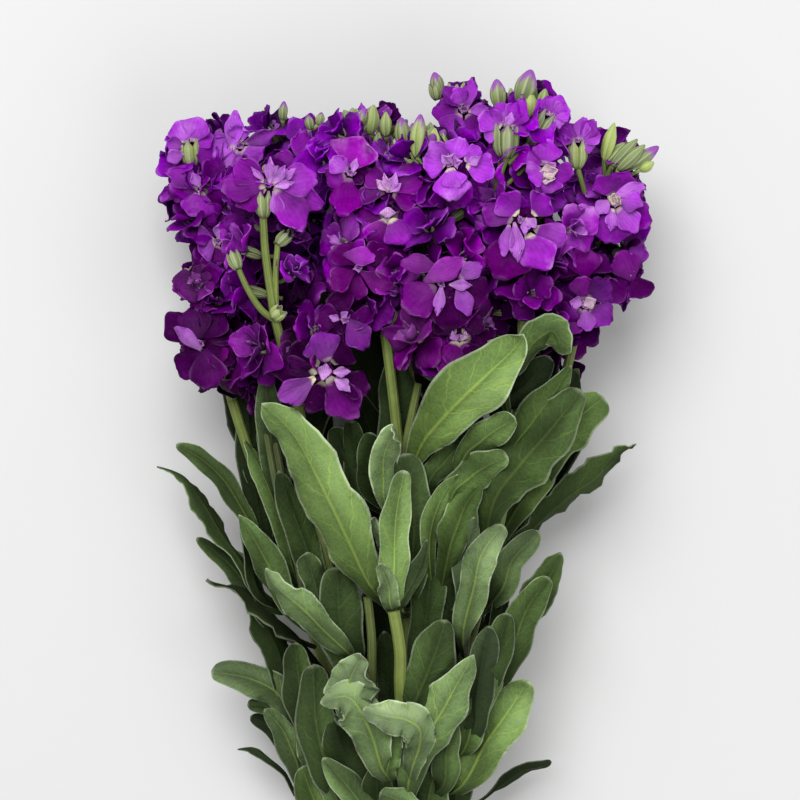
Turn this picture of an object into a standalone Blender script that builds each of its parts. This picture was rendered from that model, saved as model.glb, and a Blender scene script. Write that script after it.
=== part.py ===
"""Tied bunch of ten purple stock stems, lying on its side.

Metres, +Z up. The bunch lies along Y with its flowers towards +Y. The layout tables are in millimetres,
from a point on the surface below the middle of the flowers and leaves; the finished bunch is then moved
so that the origin is on the surface under the middle of its box.
"""

import math

import bmesh
import bpy
from mathutils import Matrix, Vector
from mathutils.bvhtree import BVHTree

MM = 0.001
UP = Vector((0, 0, 1))
ALONG = Vector((0, 1, 0))
GOLDEN_ANGLE = math.radians(137.5)

# Gap kept between two pieces that touch
GAP = 0.0003

# Bare stems and the band that ties them
STEM_RADIUS = 0.0031
STEM_TOP_RADIUS = 0.0026
STEM_SIDES = 6
STEM_STEPS = 6
SLOT_PITCH = 0.0068
TIE_Y = -0.300
TIE_WIDTH = 0.008
TIE_THICKNESS = 0.0012
TIE_SIDES = 20
CUT_END_Y = -0.374
CUT_END_SPREAD = 1.35
LOWEST_ROW_Z = TIE_THICKNESS * math.cos(math.pi / TIE_SIDES) + GAP + STEM_RADIUS

# Flower heads
FLORET_RADIUS = 0.0200
FLORET_SEAT = 0.0215
CORE_RADIUS = 0.0044
CORE_TOP_RADIUS = 0.0028
FLORET_SPACING = 0.0062
# Least way between two florets of one head
FLORET_APART = 0.019
# Florets that face further in than this find no room where the heads press together
LEAST_OUTWARD = -0.60
FLORET_SIZES = (1.0, 0.88, 0.76, 0.64)
FLORET_MARGIN = 0.02
TILT_LOW, TILT_HIGH = 6, 42
PETALS = 4
RIM = 4 * PETALS
# The flowers together fill an egg shape: its middle and half sizes
FLOWERS_MIDDLE = Vector((0, 0.075, 0.060))
FLOWERS_HALF = Vector((0.125, 0.085, 0.055))
# On this head the florets leave the stem bare in front, along this share of it
OPEN_HEAD = "e"
OPEN_FROM, OPEN_TO = 0.34, 0.86
OPEN_FACING = 0.80

# Bud cluster at the end of a head
BUD_LENGTH = 0.014
BUD_RADIUS = 0.0031
BUD_COUNT = 6
BUD_SIDES = 4
BUD_STATIONS = ((0.44, 1.0), (0.80, 0.80))

# Leaves
# The midrib stands out from the blade's outer side by a least height and a share of the half width
LEAF_RIB = 0.0007
LEAF_FOLD = 0.15
LEAF_SIDES = 3
LEAF_STATIONS = (0.28, 0.60, 0.86)
LEAF_WAVE = 0.10
LEAF_CLEARANCE = 0.0005
STALK_SHARE = 0.14
# Where a leaf's midrib bends: share of its length up the stem, and share of its reach aside
LEAF_BEND = 0.40
LEAF_ASIDE = 0.30
FLOOR_CLEARANCE = 0.0012
# Turns about the stem and away from the bunch that a leaf tries, in degrees, until it is clear
NUDGES = [(turn, lift) for lift in (0, 7, 14, -7, 22) for turn in (0, 11, -11, 22, -22, 35, -35)]

# One stem a row: name, place in the tie (column, row), base and tip of its flower head and length of its
# unopened buds, in mm
STEMS = (
    ("a", (-1.5, 1), (-90, 52, 44), (-100, 138, 50), 15),
    ("b", (-1.0, 0), (-50, 32, 29), (-59, 144, 29), 16),
    ("c", (0.0, 0), (4, 22, 29), (-6, 148, 29), 20),
    ("d", (1.0, 0), (50, 30, 31), (30, 163, 32), 20),
    ("e", (-1.0, 2), (-50, -2, 82), (-67, 112, 86), 12),
    ("f", (-0.5, 1), (-84, 0, 60), (-102, 62, 72), 10),
    ("g", (0.5, 1), (-8, 38, 80), (-23, 142, 78), 14),
    ("h", (0.0, 2), (22, 10, 86), (14, 136, 90), 20),
    ("i", (1.0, 2), (60, 32, 84), (62, 158, 84), 22),
    ("j", (1.5, 1), (82, 8, 54), (112, 134, 58), 20),
)

# Florets that show in front, one a row: head, share of the way up it, turn from the front to the right
# in degrees, and size
FRONT_FLORETS = (
    ("a", 0.88, 48, 0.92),
    ("a", 0.66, -24, 0.94),
    ("a", 0.24, 14, 0.96),
    ("e", 0.90, 6, 1.06),
    ("e", 0.12, 46, 1.12),
    ("e", 0.24, -44, 0.96),
    ("f", 0.80, -14, 1.04),
    ("f", 0.30, -26, 1.02),
    ("g", 0.06, -46, 1.00),
    ("g", 0.24, -6, 1.04),
    ("g", 0.64, -12, 1.06),
    ("g", 0.56, 46, 0.98),
    ("g", 0.92, 8, 0.84),
    ("h", 0.86, 36, 0.96),
    ("h", 0.66, -50, 0.92),
    ("h", 0.40, 14, 1.08),
    ("h", 0.14, 22, 1.02),
    ("i", 0.46, -2, 1.12),
    ("i", 0.66, 36, 0.90),
    ("i", 0.88, -32, 0.84),
    ("i", 0.14, 30, 0.94),
    ("j", 0.76, 2, 1.04),
    ("j", 0.52, -36, 0.96),
    ("j", 0.50, 40, 0.98),
    ("j", 0.28, -6, 1.04),
    ("d", 0.84, 2, 0.98),
    ("c", 0.06, -58, 1.00),
    ("c", 0.14, 44, 1.00),
)

# Leaves placed by hand, first those that show in front and then broad ones behind, one a row: stem, where it
# leaves the stem along Y, tip, width in mm, and the roll of the blade about its midrib in degrees
PLACED_LEAVES = (
    ("g", -110, (-66, -2, 106), 28, -12),
    ("g", -104, (2, -35, 100), 16, 8),
    ("h", -52, (60, 32, 122), 29, 14),
    ("i", -42, (80, 34, 100), 17, 40),
    ("i", -70, (92, 4, 94), 21, 18),
    ("j", -50, (104, 4, 62), 19, 10),
    ("j", -102, (117, -22, 56), 14, 55),
    ("i", -88, (76, -36, 82), 14, 30),
    ("i", -136, (56, -62, 100), 17, 10),
    ("j", -142, (81, -76, 66), 16, 42),
    ("j", -166, (74, -88, 50), 14, 20),
    ("i", -206, (66, -138, 64), 18, -22),
    ("j", -214, (76, -181, 34), 10, 60),
    ("h", -162, (24, -110, 88), 18, 14),
    ("h", -198, (37, -128, 78), 19, -16),
    ("h", -214, (28, -160, 62), 16, -10),
    ("f", -74, (-112, -22, 72), 14, -42),
    ("a", -110, (-121, -36, 52), 12, -58),
    ("f", -132, (-102, -70, 58), 12, -50),
    ("a", -168, (-95, -137, 42), 17, 20),
    ("e", -190, (-76, -153, 54), 12, -30),
    ("a", -206, (-81, -175, 24), 10, -60),
    ("e", -122, (-80, -58, 88), 20, -12),
    ("e", -140, (-64, -84, 94), 19, 28),
    ("g", -150, (-32, -76, 74), 19, -18),
    ("f", -82, (-80, 20, 86), 15, -8),
    ("g", -46, (-4, -14, 96), 12, 24),
    ("h", -66, (14, -2, 96), 16, -20),
    ("h", -82, (34, -36, 108), 16, 24),
    ("h", -112, (28, -38, 100), 13, 35),
    ("g", -176, (-16, -132, 82), 20, 16),
    ("g", -194, (8, -152, 76), 18, -24),
    ("e", -206, (-40, -150, 62), 17, 12),
    ("e", -84, (-34, -10, 100), 17, -14),
    ("i", -58, (54, -8, 106), 16, 12),
    ("c", -84, (-24, 8, 54), 19, -8),
    ("g", -62, (-8, 14, 70), 15, 14),
    ("c", -70, (10, 2, 50), 17, 6),
    ("b", -80, (-44, 16, 50), 17, -6),
    ("b", -112, (-62, -22, 26), 24, -10),
    ("b", -152, (-50, -72, 22), 22, 8),
    ("b", -200, (-34, -128, 15), 20, -8),
    ("c", -112, (-16, -22, 30), 24, 12),
    ("c", -150, (10, -70, 24), 22, -10),
    ("c", -196, (-8, -120, 18), 20, 10),
    ("d", -76, (30, 6, 36), 23, 8),
    ("d", -112, (52, -24, 26), 24, 12),
    ("d", -152, (34, -72, 22), 22, -8),
    ("d", -200, (30, -128, 15), 20, 10),
)

# The other leaves spiral round each stem: first and last height in mm, and their number
FILL_FROM, FILL_TO, FILL_COUNT = -246, -24, 8
FILL_LENGTH = 0.084
FILL_WIDTH = 0.019
FILL_SPREAD = math.radians(24)
# No leaf that fills in reaches further to the side than this
FILL_REACH = 0.098

COLOURS = {
    "stem": ((0.20, 0.33, 0.12), 0.6),
    "head": ((0.29, 0.02, 0.46), 0.55),
    "buds": ((0.42, 0.52, 0.24), 0.6),
    "tie": ((0.72, 0.58, 0.36), 0.7),
}


def draw(*keys):
    """A fixed number from 0 to 1 for these keys, in place of a random draw."""
    total = sum(key * step for key, step in zip(keys, (12.9898, 78.233, 37.719)))
    return math.sin(total) * 43758.5453 % 1.0


def place(row):
    return Vector(row) * MM


def clear_scene():
    for scene_object in list(bpy.data.objects):
        bpy.data.objects.remove(scene_object)


def material(kind):
    colour, roughness = COLOURS[kind]
    made = bpy.data.materials.get(kind) or bpy.data.materials.new(kind)
    made.use_nodes = True
    shader = made.node_tree.nodes["Principled BSDF"]
    shader.inputs["Base Color"].default_value = (*colour, 1)
    shader.inputs["Roughness"].default_value = roughness
    shader.inputs["Metallic"].default_value = 0
    return made


def mesh_object(name, points, faces, kind):
    """One closed mesh from points and faces, with its faces turned outwards."""
    mesh = bpy.data.meshes.new(name)
    mesh.from_pydata(points, [], faces)
    solid = bmesh.new()
    solid.from_mesh(mesh)
    bmesh.ops.recalc_face_normals(solid, faces=solid.faces)
    bmesh.ops.triangulate(solid, faces=solid.faces)
    solid.to_mesh(mesh)
    solid.free()
    mesh.materials.append(material(kind))
    made = bpy.data.objects.new(name, mesh)
    bpy.context.scene.collection.objects.link(made)
    return made


def tree_of(points, faces):
    return BVHTree.FromPolygons(points, faces)


def object_tree(solid):
    mesh = solid.data
    return tree_of([v.co for v in mesh.vertices], [p.vertices for p in mesh.polygons])


def side_axes(direction):
    """Two unit vectors square to the direction, the second as near to up as it can be."""
    lift = UP - direction * direction.dot(UP)
    if lift.length < 0.05:
        lift = ALONG - direction * direction.dot(ALONG)
    lift.normalize()
    return direction.cross(lift), lift


def ring(centre, direction, radius, sides):
    across, lift = side_axes(direction)
    turns = [math.tau * k / sides - math.pi / 2 for k in range(sides)]
    return [centre + (across * math.cos(a) + lift * math.sin(a)) * radius for a in turns]


def tube(points, radii, sides):
    """Points and faces of a tube with flat ends."""
    verts, faces = [], []
    for k, centre in enumerate(points):
        before = points[max(k - 1, 0)]
        after = points[min(k + 1, len(points) - 1)]
        verts += ring(centre, (after - before).normalized(), radii[k], sides)
    for k in range(len(points) - 1):
        for s in range(sides):
            a, b = k * sides + s, k * sides + (s + 1) % sides
            faces.append((a, b, b + sides, a + sides))
    faces.append(tuple(range(sides)))
    faces.append(tuple(range(len(verts) - sides, len(verts))))
    return verts, faces


def bezier(t, *p):
    u = 1 - t
    return p[0] * u**3 + p[1] * 3 * u * u * t + p[2] * 3 * u * t * t + p[3] * t**3


class Stem:
    """One stem's route: from its cut end, straight through the tie, and up to its flower head."""

    def __init__(self, index, name, slot, base, tip, buds):
        column, row = slot
        self.index, self.name = index, name
        self.base, self.tip = place(base), place(tip)
        self.axis = (self.tip - self.base).normalized()
        self.core_top = self.tip - self.axis * buds * MM
        self.buds = buds * MM
        self.slot_x = column * SLOT_PITCH
        self.slot_z = LOWEST_ROW_Z + row * SLOT_PITCH * math.sqrt(3) / 2
        self.tie_point = Vector((self.slot_x, TIE_Y + TIE_WIDTH, self.slot_z))
        reach = (self.base - self.tie_point).length * 0.36
        self.handles = (
            self.tie_point,
            self.tie_point + ALONG * reach,
            self.base - self.axis * reach,
            self.base,
        )

    def at(self, t):
        return bezier(t, *self.handles)

    def at_y(self, y):
        """Share of the way up from the tie at which the stem passes this Y."""
        low, high = 0.0, 1.0
        for _ in range(24):
            middle = (low + high) / 2
            low, high = (middle, high) if self.at(middle).y < y else (low, middle)
        return low

    def direction(self, t):
        return (self.at(min(t + 0.01, 1)) - self.at(max(t - 0.01, 0))).normalized()

    def tube(self):
        cut_y = CUT_END_Y - 0.008 * draw(self.index, 1)
        cut_z = self.slot_z + STEM_RADIUS - LOWEST_ROW_Z
        route = [Vector((self.slot_x * CUT_END_SPREAD, cut_y, cut_z))]
        route.append(Vector((self.slot_x, TIE_Y - TIE_WIDTH, self.slot_z)))
        route += [self.at(k / STEM_STEPS) for k in range(STEM_STEPS)]
        route.append(self.base - self.axis * GAP)
        last = len(route) - 1
        radii = [STEM_RADIUS + (STEM_TOP_RADIUS - STEM_RADIUS) * k / last for k in range(last + 1)]
        return tube(route, radii, STEM_SIDES)


def floret(centre, out, seat, size, spin):
    """One double floret: four broad outer petals and a crown of four small ones, on a stalk to the axis."""
    across, lift = side_axes(out)

    def point(angle, radius, height):
        sideways = across * math.cos(angle) + lift * math.sin(angle)
        return centre + (sideways * radius + out * height) * size

    r = FLORET_RADIUS
    step = math.tau / PETALS
    verts = [centre - out * (seat + CORE_RADIUS * 0.8)]
    angles = [spin + step * k for k in range(PETALS)]
    verts += [point(a, 0.16 * r, -0.20 * r) for a in angles]
    for a in angles:
        wave = 0.10 * r * math.cos(2 * a + 3 * spin)
        verts.append(point(a - 0.35 * step, 0.94 * r, wave - 0.02 * r))
        verts.append(point(a, 1.06 * r, 0.12 * r - wave))
        verts.append(point(a + 0.35 * step, 0.94 * r, wave + 0.08 * r))
        verts.append(point(a + 0.50 * step, 0.66 * r, 0.02 * r))
    verts += [point(a, 0.24 * r, 0.14 * r) for a in angles]
    verts += [point(a + 0.5 * step, 0.50 * r, 0.42 * r) for a in angles]
    verts.append(point(0, 0, 0.24 * r))
    under, rim, waist, crown = 1, 1 + PETALS, 1 + PETALS + RIM, 1 + 2 * PETALS + RIM
    apex = crown + PETALS
    faces = []
    for k in range(PETALS):
        n = (k + 1) % PETALS
        left, middle, right, notch, onward = (rim + (4 * k + s) % RIM for s in range(5))
        faces.append((0, under + n, under + k))
        for hub, flip in ((under, 1), (waist, -1)):
            for face in (
                (hub + k, left, middle),
                (hub + k, middle, right),
                (hub + k, right, notch),
                (hub + k, notch, hub + n),
                (hub + n, notch, onward),
            ):
                faces.append(face[::flip])
        faces += [(waist + k, waist + n, crown + k), (waist + n, crown + n, crown + k)]
        faces.append((crown + k, crown + n, apex))
    return verts, faces


def facing(stem, turn, t):
    """The way a floret faces, turned about the head from the front; the higher ones look more upwards."""
    across, lift = side_axes(stem.axis)
    tilt = math.radians(TILT_LOW + (TILT_HIGH - TILT_LOW) * t)
    sideways = lift * math.cos(turn) + across * math.sin(turn)
    return (sideways * math.cos(tilt) + stem.axis * math.sin(tilt)).normalized()


def floret_rows(stem):
    """Seat on the head's axis, facing, size and spin of each floret, spiralling up the head."""
    length = (stem.core_top - stem.base).length
    count = round(length / FLORET_SPACING)
    for k in range(count):
        t = (k + 0.6) / count
        turn = GOLDEN_ANGLE * k + stem.index + 0.5 * (draw(stem.index, k, 1) - 0.5)
        out = facing(stem, turn, t + 0.4 * (draw(stem.index, k, 2) - 0.5))
        size = 1.04 - 0.22 * t + 0.10 * (draw(stem.index, k, 3) - 0.5)
        in_opening = stem.name == OPEN_HEAD and OPEN_FROM < t < OPEN_TO and out.z > OPEN_FACING
        if not in_opening:
            yield stem.base + stem.axis * length * t, out, size, math.tau * draw(stem.index, k, 4)


def front_rows(by_name):
    """The same for the florets of the table."""
    for k, (name, t, turn, size) in enumerate(FRONT_FLORETS):
        stem = by_name[name]
        seat = stem.base.lerp(stem.core_top, t)
        yield stem, seat, facing(stem, math.radians(turn), t), size, math.tau * draw(k, 9)


def bud(root, out, length, radius):
    """A pointed bud, widest below its middle."""
    verts = [root]
    for along, share in BUD_STATIONS:
        verts += ring(root + out * length * along, out, radius * share, BUD_SIDES)
    verts.append(root + out * length)
    last = len(verts) - 1
    faces = []
    for s in range(BUD_SIDES):
        n = (s + 1) % BUD_SIDES
        faces.append((0, 1 + n, 1 + s))
        faces.append((1 + s, 1 + n, 1 + n + BUD_SIDES, 1 + s + BUD_SIDES))
        faces.append((last - BUD_SIDES + s, last - BUD_SIDES + n, last))
    return verts, faces


def bud_rows(stem):
    """Root, facing and length of each bud round the end of the head."""
    across, lift = side_axes(stem.axis)
    foot = stem.core_top + stem.axis * GAP
    for k in range(BUD_COUNT):
        turn = GOLDEN_ANGLE * k + 2 * stem.index
        lean = math.radians(14 + 34 * (1 - k / BUD_COUNT))
        sideways = across * math.cos(turn) + lift * math.sin(turn)
        out = (sideways * math.sin(lean) + stem.axis * math.cos(lean)).normalized()
        root = foot + stem.axis * stem.buds * (0.16 + 0.24 * k / BUD_COUNT)
        yield root, out, BUD_LENGTH * (1.05 - 0.3 * k / BUD_COUNT)


def leaf_width(t):
    """Share of a leaf's full width at this share of its length: narrow stalk, widest past the middle."""
    return STALK_SHARE + (1 - STALK_SHARE) * math.sin(math.pi * min(t, 1) ** 1.45) ** 0.9


class Leaf:
    """A leaf from its root on the stem's axis to its tip, with the way its blade faces.

    Its tip may be nudged to find room, but no further to the side than side_reach.
    """

    def __init__(self, stem, t, tip, width, roll, side_reach=math.inf):
        self.stem, self.width, self.roll, self.side_reach = stem, width, roll, side_reach
        self.root, self.grow = stem.at(t), stem.direction(t)
        self.tip = tip

    def nudged(self, turn, lift):
        """The tip after a turn about the stem and a lift away from it, kept above the surface."""
        reach = self.tip - self.root
        aside = self.grow.cross(reach)
        if aside.length > 1e-6:
            reach = Matrix.Rotation(math.radians(lift), 3, aside) @ reach
        reach = Matrix.Rotation(math.radians(turn), 3, self.grow) @ reach
        tip = self.root + reach
        tip.z = max(tip.z, FLOOR_CLEARANCE)
        return tip

    def blade(self, tip, extra=0.0):
        """Points and faces of the folded, waved blade; extra makes it thicker and wider all round."""
        reach = tip - self.root
        aside = reach - self.grow * reach.dot(self.grow)
        bend = self.root + self.grow * reach.length * LEAF_BEND + aside * LEAF_ASIDE
        verts = [self.root]
        for k, t in enumerate(LEAF_STATIONS):
            u = 1 - t
            centre = self.root * u * u + bend * 2 * u * t + tip * t * t
            ahead = ((bend - self.root) * u + (tip - bend) * t).normalized()
            across, lift = side_axes(ahead)
            spin = Matrix.Rotation(math.radians(self.roll), 3, ahead)
            across, lift = spin @ across, spin @ lift
            half = self.width / 2 * leaf_width(t)
            wave = lift * LEAF_WAVE * self.width * (-1) ** k / 2
            rib = lift * (LEAF_RIB + LEAF_FOLD * half + extra)
            verts.append(centre - across * (half + extra) + wave - lift * extra)
            verts.append(centre + rib)
            verts.append(centre + across * (half + extra) - wave - lift * extra)
        verts.append(tip + (tip - bend).normalized() * extra)
        for vert in verts:
            vert.z = max(vert.z, FLOOR_CLEARANCE * 0.5 - extra)
        last = len(verts) - 1
        faces = []
        for s in range(LEAF_SIDES):
            n = (s + 1) % LEAF_SIDES
            faces.append((0, 1 + n, 1 + s))
            for k in range(len(LEAF_STATIONS) - 1):
                # Both faces of the waved blade are split from left to right, or they would cross
                left, right = (1 + LEAF_SIDES * k + point for point in sorted((s, n)))
                faces.append((left, right, right + LEAF_SIDES))
                faces.append((left, right + LEAF_SIDES, left + LEAF_SIDES))
            faces.append((last - LEAF_SIDES + s, last - LEAF_SIDES + n, last))
        return verts, faces


def fill_leaves(stem):
    """The leaves that spiral round a stem at even heights, each standing out at its own angle."""
    for k in range(FILL_COUNT):
        y = (FILL_FROM + (FILL_TO - FILL_FROM) * (k + 0.5 * draw(stem.index, k, 5)) / FILL_COUNT) * MM
        t = stem.at_y(y)
        grow = stem.direction(t)
        across, lift = side_axes(grow)
        turn = GOLDEN_ANGLE * k + 1.7 * stem.index
        sideways = across * math.cos(turn) + lift * math.sin(turn)
        spread = FILL_SPREAD * (0.7 + 0.8 * draw(stem.index, k, 6))
        length = FILL_LENGTH * (0.75 + 0.5 * draw(stem.index, k, 7))
        tip = stem.at(t) + (grow * math.cos(spread) + sideways * math.sin(spread)) * length
        roll = math.degrees(turn) - 90
        width = FILL_WIDTH * (0.75 + 0.5 * draw(stem.index, k, 8))
        yield Leaf(stem, t, tip, width, roll, FILL_REACH)


def clear_of(points, faces, trees):
    tree = tree_of(points, faces)
    return not any(tree.overlap(other) for other in trees)


def outward(seat, out):
    """How far a floret faces away from the middle of the flowers, from -1 to 1."""
    away = Vector((seat - FLOWERS_MIDDLE)[k] / FLOWERS_HALF[k] ** 2 for k in range(3))
    return out.dot(away.normalized())


def grow_florets(stems, cores, trees):
    """Each head's florets that find room, the outward facing ones first, as large as they stay clear."""
    rows = [(stem, *row) for stem in stems for row in floret_rows(stem)]
    rows = [row for row in rows if outward(row[1], row[2]) > LEAST_OUTWARD]
    rows.sort(key=lambda row: -outward(row[1], row[2]))
    rows = [*front_rows({stem.name: stem for stem in stems}), *rows]
    found = {stem.name: [] for stem in stems}
    heads = {name: [tree_of(*core)] for name, core in cores.items()}
    centres = {stem.name: [] for stem in stems}
    for stem, seat, out, size, spin in rows:
        centre = seat + out * FLORET_SEAT * size
        if any((centre - other).length < FLORET_APART for other in centres[stem.name]):
            continue
        others = [tree for name, head in heads.items() if name != stem.name for tree in head]
        for share in FLORET_SIZES:
            reach = FLORET_SEAT * size * share
            near, far = (
                floret(seat + out * (reach + lift), out, reach, size * share + FLORET_MARGIN, spin)
                for lift in (-GAP, GAP)
            )
            if clear_of(*near, trees + others) and clear_of(*far, trees + others):
                shape = floret(seat + out * reach, out, reach, size * share, spin)
                found[stem.name].append(shape)
                heads[stem.name].append(tree_of(*shape))
                centres[stem.name].append(seat + out * reach)
                break
    return found


def grow_leaf(leaf, trees, own):
    """The leaf at the first nudge that is clear of the other stems' pieces and of its own stem's leaves."""
    for turn, lift in NUDGES:
        tip = leaf.nudged(turn, lift)
        if abs(tip.x) > leaf.side_reach:
            continue
        if clear_of(*leaf.blade(tip, LEAF_CLEARANCE), trees + own):
            return leaf.blade(tip)
    return None


def fuse(name, kind, first, others):
    """One solid from a first shape and the shapes that grow from it, by a single union."""
    base = mesh_object(name, *first, kind)
    parts = bpy.data.collections.new(name + "_parts")
    bpy.context.scene.collection.children.link(parts)
    for k, shape in enumerate(others):
        piece = mesh_object(f"{name}_{k}", *shape, kind)
        bpy.context.scene.collection.objects.unlink(piece)
        parts.objects.link(piece)
    union = base.modifiers.new("union", "BOOLEAN")
    union.operation = "UNION"
    union.operand_type = "COLLECTION"
    union.collection = parts
    union.solver = "EXACT"
    apply_modifiers(base)
    for piece in list(parts.objects):
        bpy.data.objects.remove(piece)
    bpy.data.collections.remove(parts)
    return base


def apply_modifiers(solid):
    graph = bpy.context.evaluated_depsgraph_get()
    mesh = bpy.data.meshes.new_from_object(solid.evaluated_get(graph))
    solid.modifiers.clear()
    solid.data = mesh
    tidy = bmesh.new()
    tidy.from_mesh(mesh)
    bmesh.ops.remove_doubles(tidy, verts=tidy.verts, dist=1e-6)
    bmesh.ops.dissolve_degenerate(tidy, edges=tidy.edges, dist=1e-6)
    drop_scraps(tidy)
    bmesh.ops.triangulate(tidy, faces=tidy.faces)
    tidy.to_mesh(mesh)
    tidy.free()


def drop_scraps(solid):
    """Keeps the largest body: a union can leave a loose crumb or seal a small hollow."""
    left, bodies = set(solid.verts), []
    while left:
        body, edge = set(), [left.pop()]
        while edge:
            vert = edge.pop()
            body.add(vert)
            near = [e.other_vert(vert) for e in vert.link_edges]
            edge += [v for v in near if v in left]
            left.difference_update(near)
        bodies.append(body)
    bodies.sort(key=len)
    for body in bodies[:-1]:
        bmesh.ops.delete(solid, geom=list(body), context="VERTS")


def make_tie(stems):
    """The band round the stems: the outline of all ten stems, kept a gap clear of them."""
    centres = [Vector((s.slot_x, 0, s.slot_z)) for s in stems]

    def outline(offset, y):
        points = []
        for k in range(TIE_SIDES):
            angle = math.tau * (k + 0.5) / TIE_SIDES
            out = Vector((math.cos(angle), 0, math.sin(angle)))
            outer = max(centres, key=out.dot)
            points.append(outer + out * offset / math.cos(math.pi / TIE_SIDES) + ALONG * y)
        return points

    inner = STEM_RADIUS + GAP
    outer = inner + TIE_THICKNESS * math.cos(math.pi / TIE_SIDES)
    low, high = TIE_Y - TIE_WIDTH / 2, TIE_Y + TIE_WIDTH / 2
    rings = [outline(inner, low), outline(outer, low), outline(outer, high), outline(inner, high)]
    verts = [point for one in rings for point in one]
    faces = []
    for k in range(4):
        start, end = k * TIE_SIDES, (k + 1) % 4 * TIE_SIDES
        for s in range(TIE_SIDES):
            n = (s + 1) % TIE_SIDES
            faces.append((start + s, start + n, end + n, end + s))
    return mesh_object("tie", verts, faces, "tie")


def cut_at_floor(head):
    """Takes away what a head would press into the surface, which leaves flat spots to rest on."""
    bpy.ops.mesh.primitive_cube_add(size=1)
    cutter = bpy.context.active_object
    cutter.name = "floor_cutter"
    cutter.scale = (1, 1, 0.1)
    cutter.location = (0, 0, -0.05)
    cutter.display_type = "WIRE"
    cut = head.modifiers.new("floor", "BOOLEAN")
    cut.operation = "DIFFERENCE"
    cut.object = cutter
    cut.solver = "EXACT"
    bpy.context.view_layer.update()
    apply_modifiers(head)
    bpy.data.objects.remove(cutter)


def build():
    clear_scene()
    stems = [Stem(k, *row) for k, row in enumerate(STEMS)]
    by_name = {stem.name: stem for stem in stems}
    tubes = {s.name: s.tube() for s in stems}
    tube_trees = {name: tree_of(*shape) for name, shape in tubes.items()}
    solids = [make_tie(stems)]
    tie_tree = object_tree(solids[0])

    flower_trees = {}
    cores = {}
    for stem in stems:
        foot = stem.core_top + stem.axis * GAP
        stalk = tube([foot, foot + stem.axis * stem.buds * 0.5], [CORE_TOP_RADIUS, 0.0016], BUD_SIDES)
        buds = [bud(root, out, length, BUD_RADIUS) for root, out, length in bud_rows(stem)]
        solids.append(fuse(f"buds_{stem.name}", "buds", stalk, buds))
        flower_trees[f"buds_{stem.name}"] = object_tree(solids[-1])
        cores[stem.name] = tube([stem.base, stem.core_top], [CORE_RADIUS, CORE_TOP_RADIUS], STEM_SIDES)
    florets = grow_florets(stems, cores, [*tube_trees.values(), *flower_trees.values()])
    for stem in stems:
        head = fuse(f"head_{stem.name}", "head", cores[stem.name], florets[stem.name])
        cut_at_floor(head)
        solids.append(head)
        flower_trees[head.name] = object_tree(head)
        print(head.name, len(florets[stem.name]), "florets", len(head.data.polygons), "triangles")

    leaves = {stem.name: [] for stem in stems}
    planned = []
    for name, y, tip, width, roll in PLACED_LEAVES:
        stem = by_name[name]
        planned.append(Leaf(stem, stem.at_y(y * MM), place(tip), width * MM, roll))
    for stem in stems:
        planned += fill_leaves(stem)
    for leaf in planned:
        name = leaf.stem.name
        others = [tree for key, tree in tube_trees.items() if key != name]
        others += [tree_of(*shape) for key, shapes in leaves.items() if key != name for shape in shapes]
        others += [tie_tree, *flower_trees.values()]
        own = [tree_of(*shape) for shape in leaves[name]]
        shape = grow_leaf(leaf, others, own)
        if shape:
            leaves[name].append(shape)
    for stem in stems:
        solids.append(fuse(f"stem_{stem.name}", "stem", tubes[stem.name], leaves[stem.name]))
        print(solids[-1].name, len(leaves[stem.name]), "leaves", len(solids[-1].data.polygons), "triangles")
    centre_on_origin(solids)
    print("triangles in all", sum(len(s.data.polygons) for s in solids))


def centre_on_origin(solids):
    """Moves the bunch so that the origin is under the middle of its box."""
    corners = [v.co for s in solids for v in s.data.vertices]
    middle_x = (min(c.x for c in corners) + max(c.x for c in corners)) / 2
    middle_y = (min(c.y for c in corners) + max(c.y for c in corners)) / 2
    lowest = min(c.z for c in corners)
    for solid in solids:
        solid.data.transform(Matrix.Translation((-middle_x, -middle_y, -lowest)))


build()
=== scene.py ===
# Looks of a tied bunch of purple stock that lies on its side, seen from straight above.
import math
import random

import bmesh
import bpy
from mathutils import Matrix, Vector, kdtree, noise


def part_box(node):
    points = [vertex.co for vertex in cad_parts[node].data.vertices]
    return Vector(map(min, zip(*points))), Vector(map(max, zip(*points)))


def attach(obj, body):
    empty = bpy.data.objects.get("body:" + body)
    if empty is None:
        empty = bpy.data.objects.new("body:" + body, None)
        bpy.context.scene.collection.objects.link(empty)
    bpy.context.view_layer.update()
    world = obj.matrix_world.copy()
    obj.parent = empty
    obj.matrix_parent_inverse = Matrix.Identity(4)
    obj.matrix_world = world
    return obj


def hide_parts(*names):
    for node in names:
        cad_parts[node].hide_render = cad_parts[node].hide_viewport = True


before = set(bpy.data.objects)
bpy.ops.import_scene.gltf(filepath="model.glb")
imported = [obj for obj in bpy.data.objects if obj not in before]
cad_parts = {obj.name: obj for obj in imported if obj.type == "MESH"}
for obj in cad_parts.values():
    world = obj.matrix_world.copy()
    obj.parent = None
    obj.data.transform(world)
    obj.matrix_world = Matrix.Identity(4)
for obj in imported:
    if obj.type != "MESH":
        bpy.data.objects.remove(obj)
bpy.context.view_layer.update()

mm = 0.001
up = Vector((0, 0, 1))
along = Vector((0, 1, 0))
goldenAngle = math.radians(137.5)


# The plan of the bunch, which the frame's nodes follow. It is laid out in mm from a point on the surface
# below the middle of the photo's view, +Y towards the flowers.
plan = {
    "gap": 0.3 * mm,
    "stemRadius": 3.1 * mm,
    "stemTopRadius": 2.6 * mm,
    "slotPitch": 6.8 * mm,
    "tieY": -300 * mm,
    "tieWidth": 8 * mm,
    "tieThickness": 1.2 * mm,
    "tieSides": 20,
    "cutEndY": -374 * mm,
    "cutEndSpread": 1.35,
}

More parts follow.
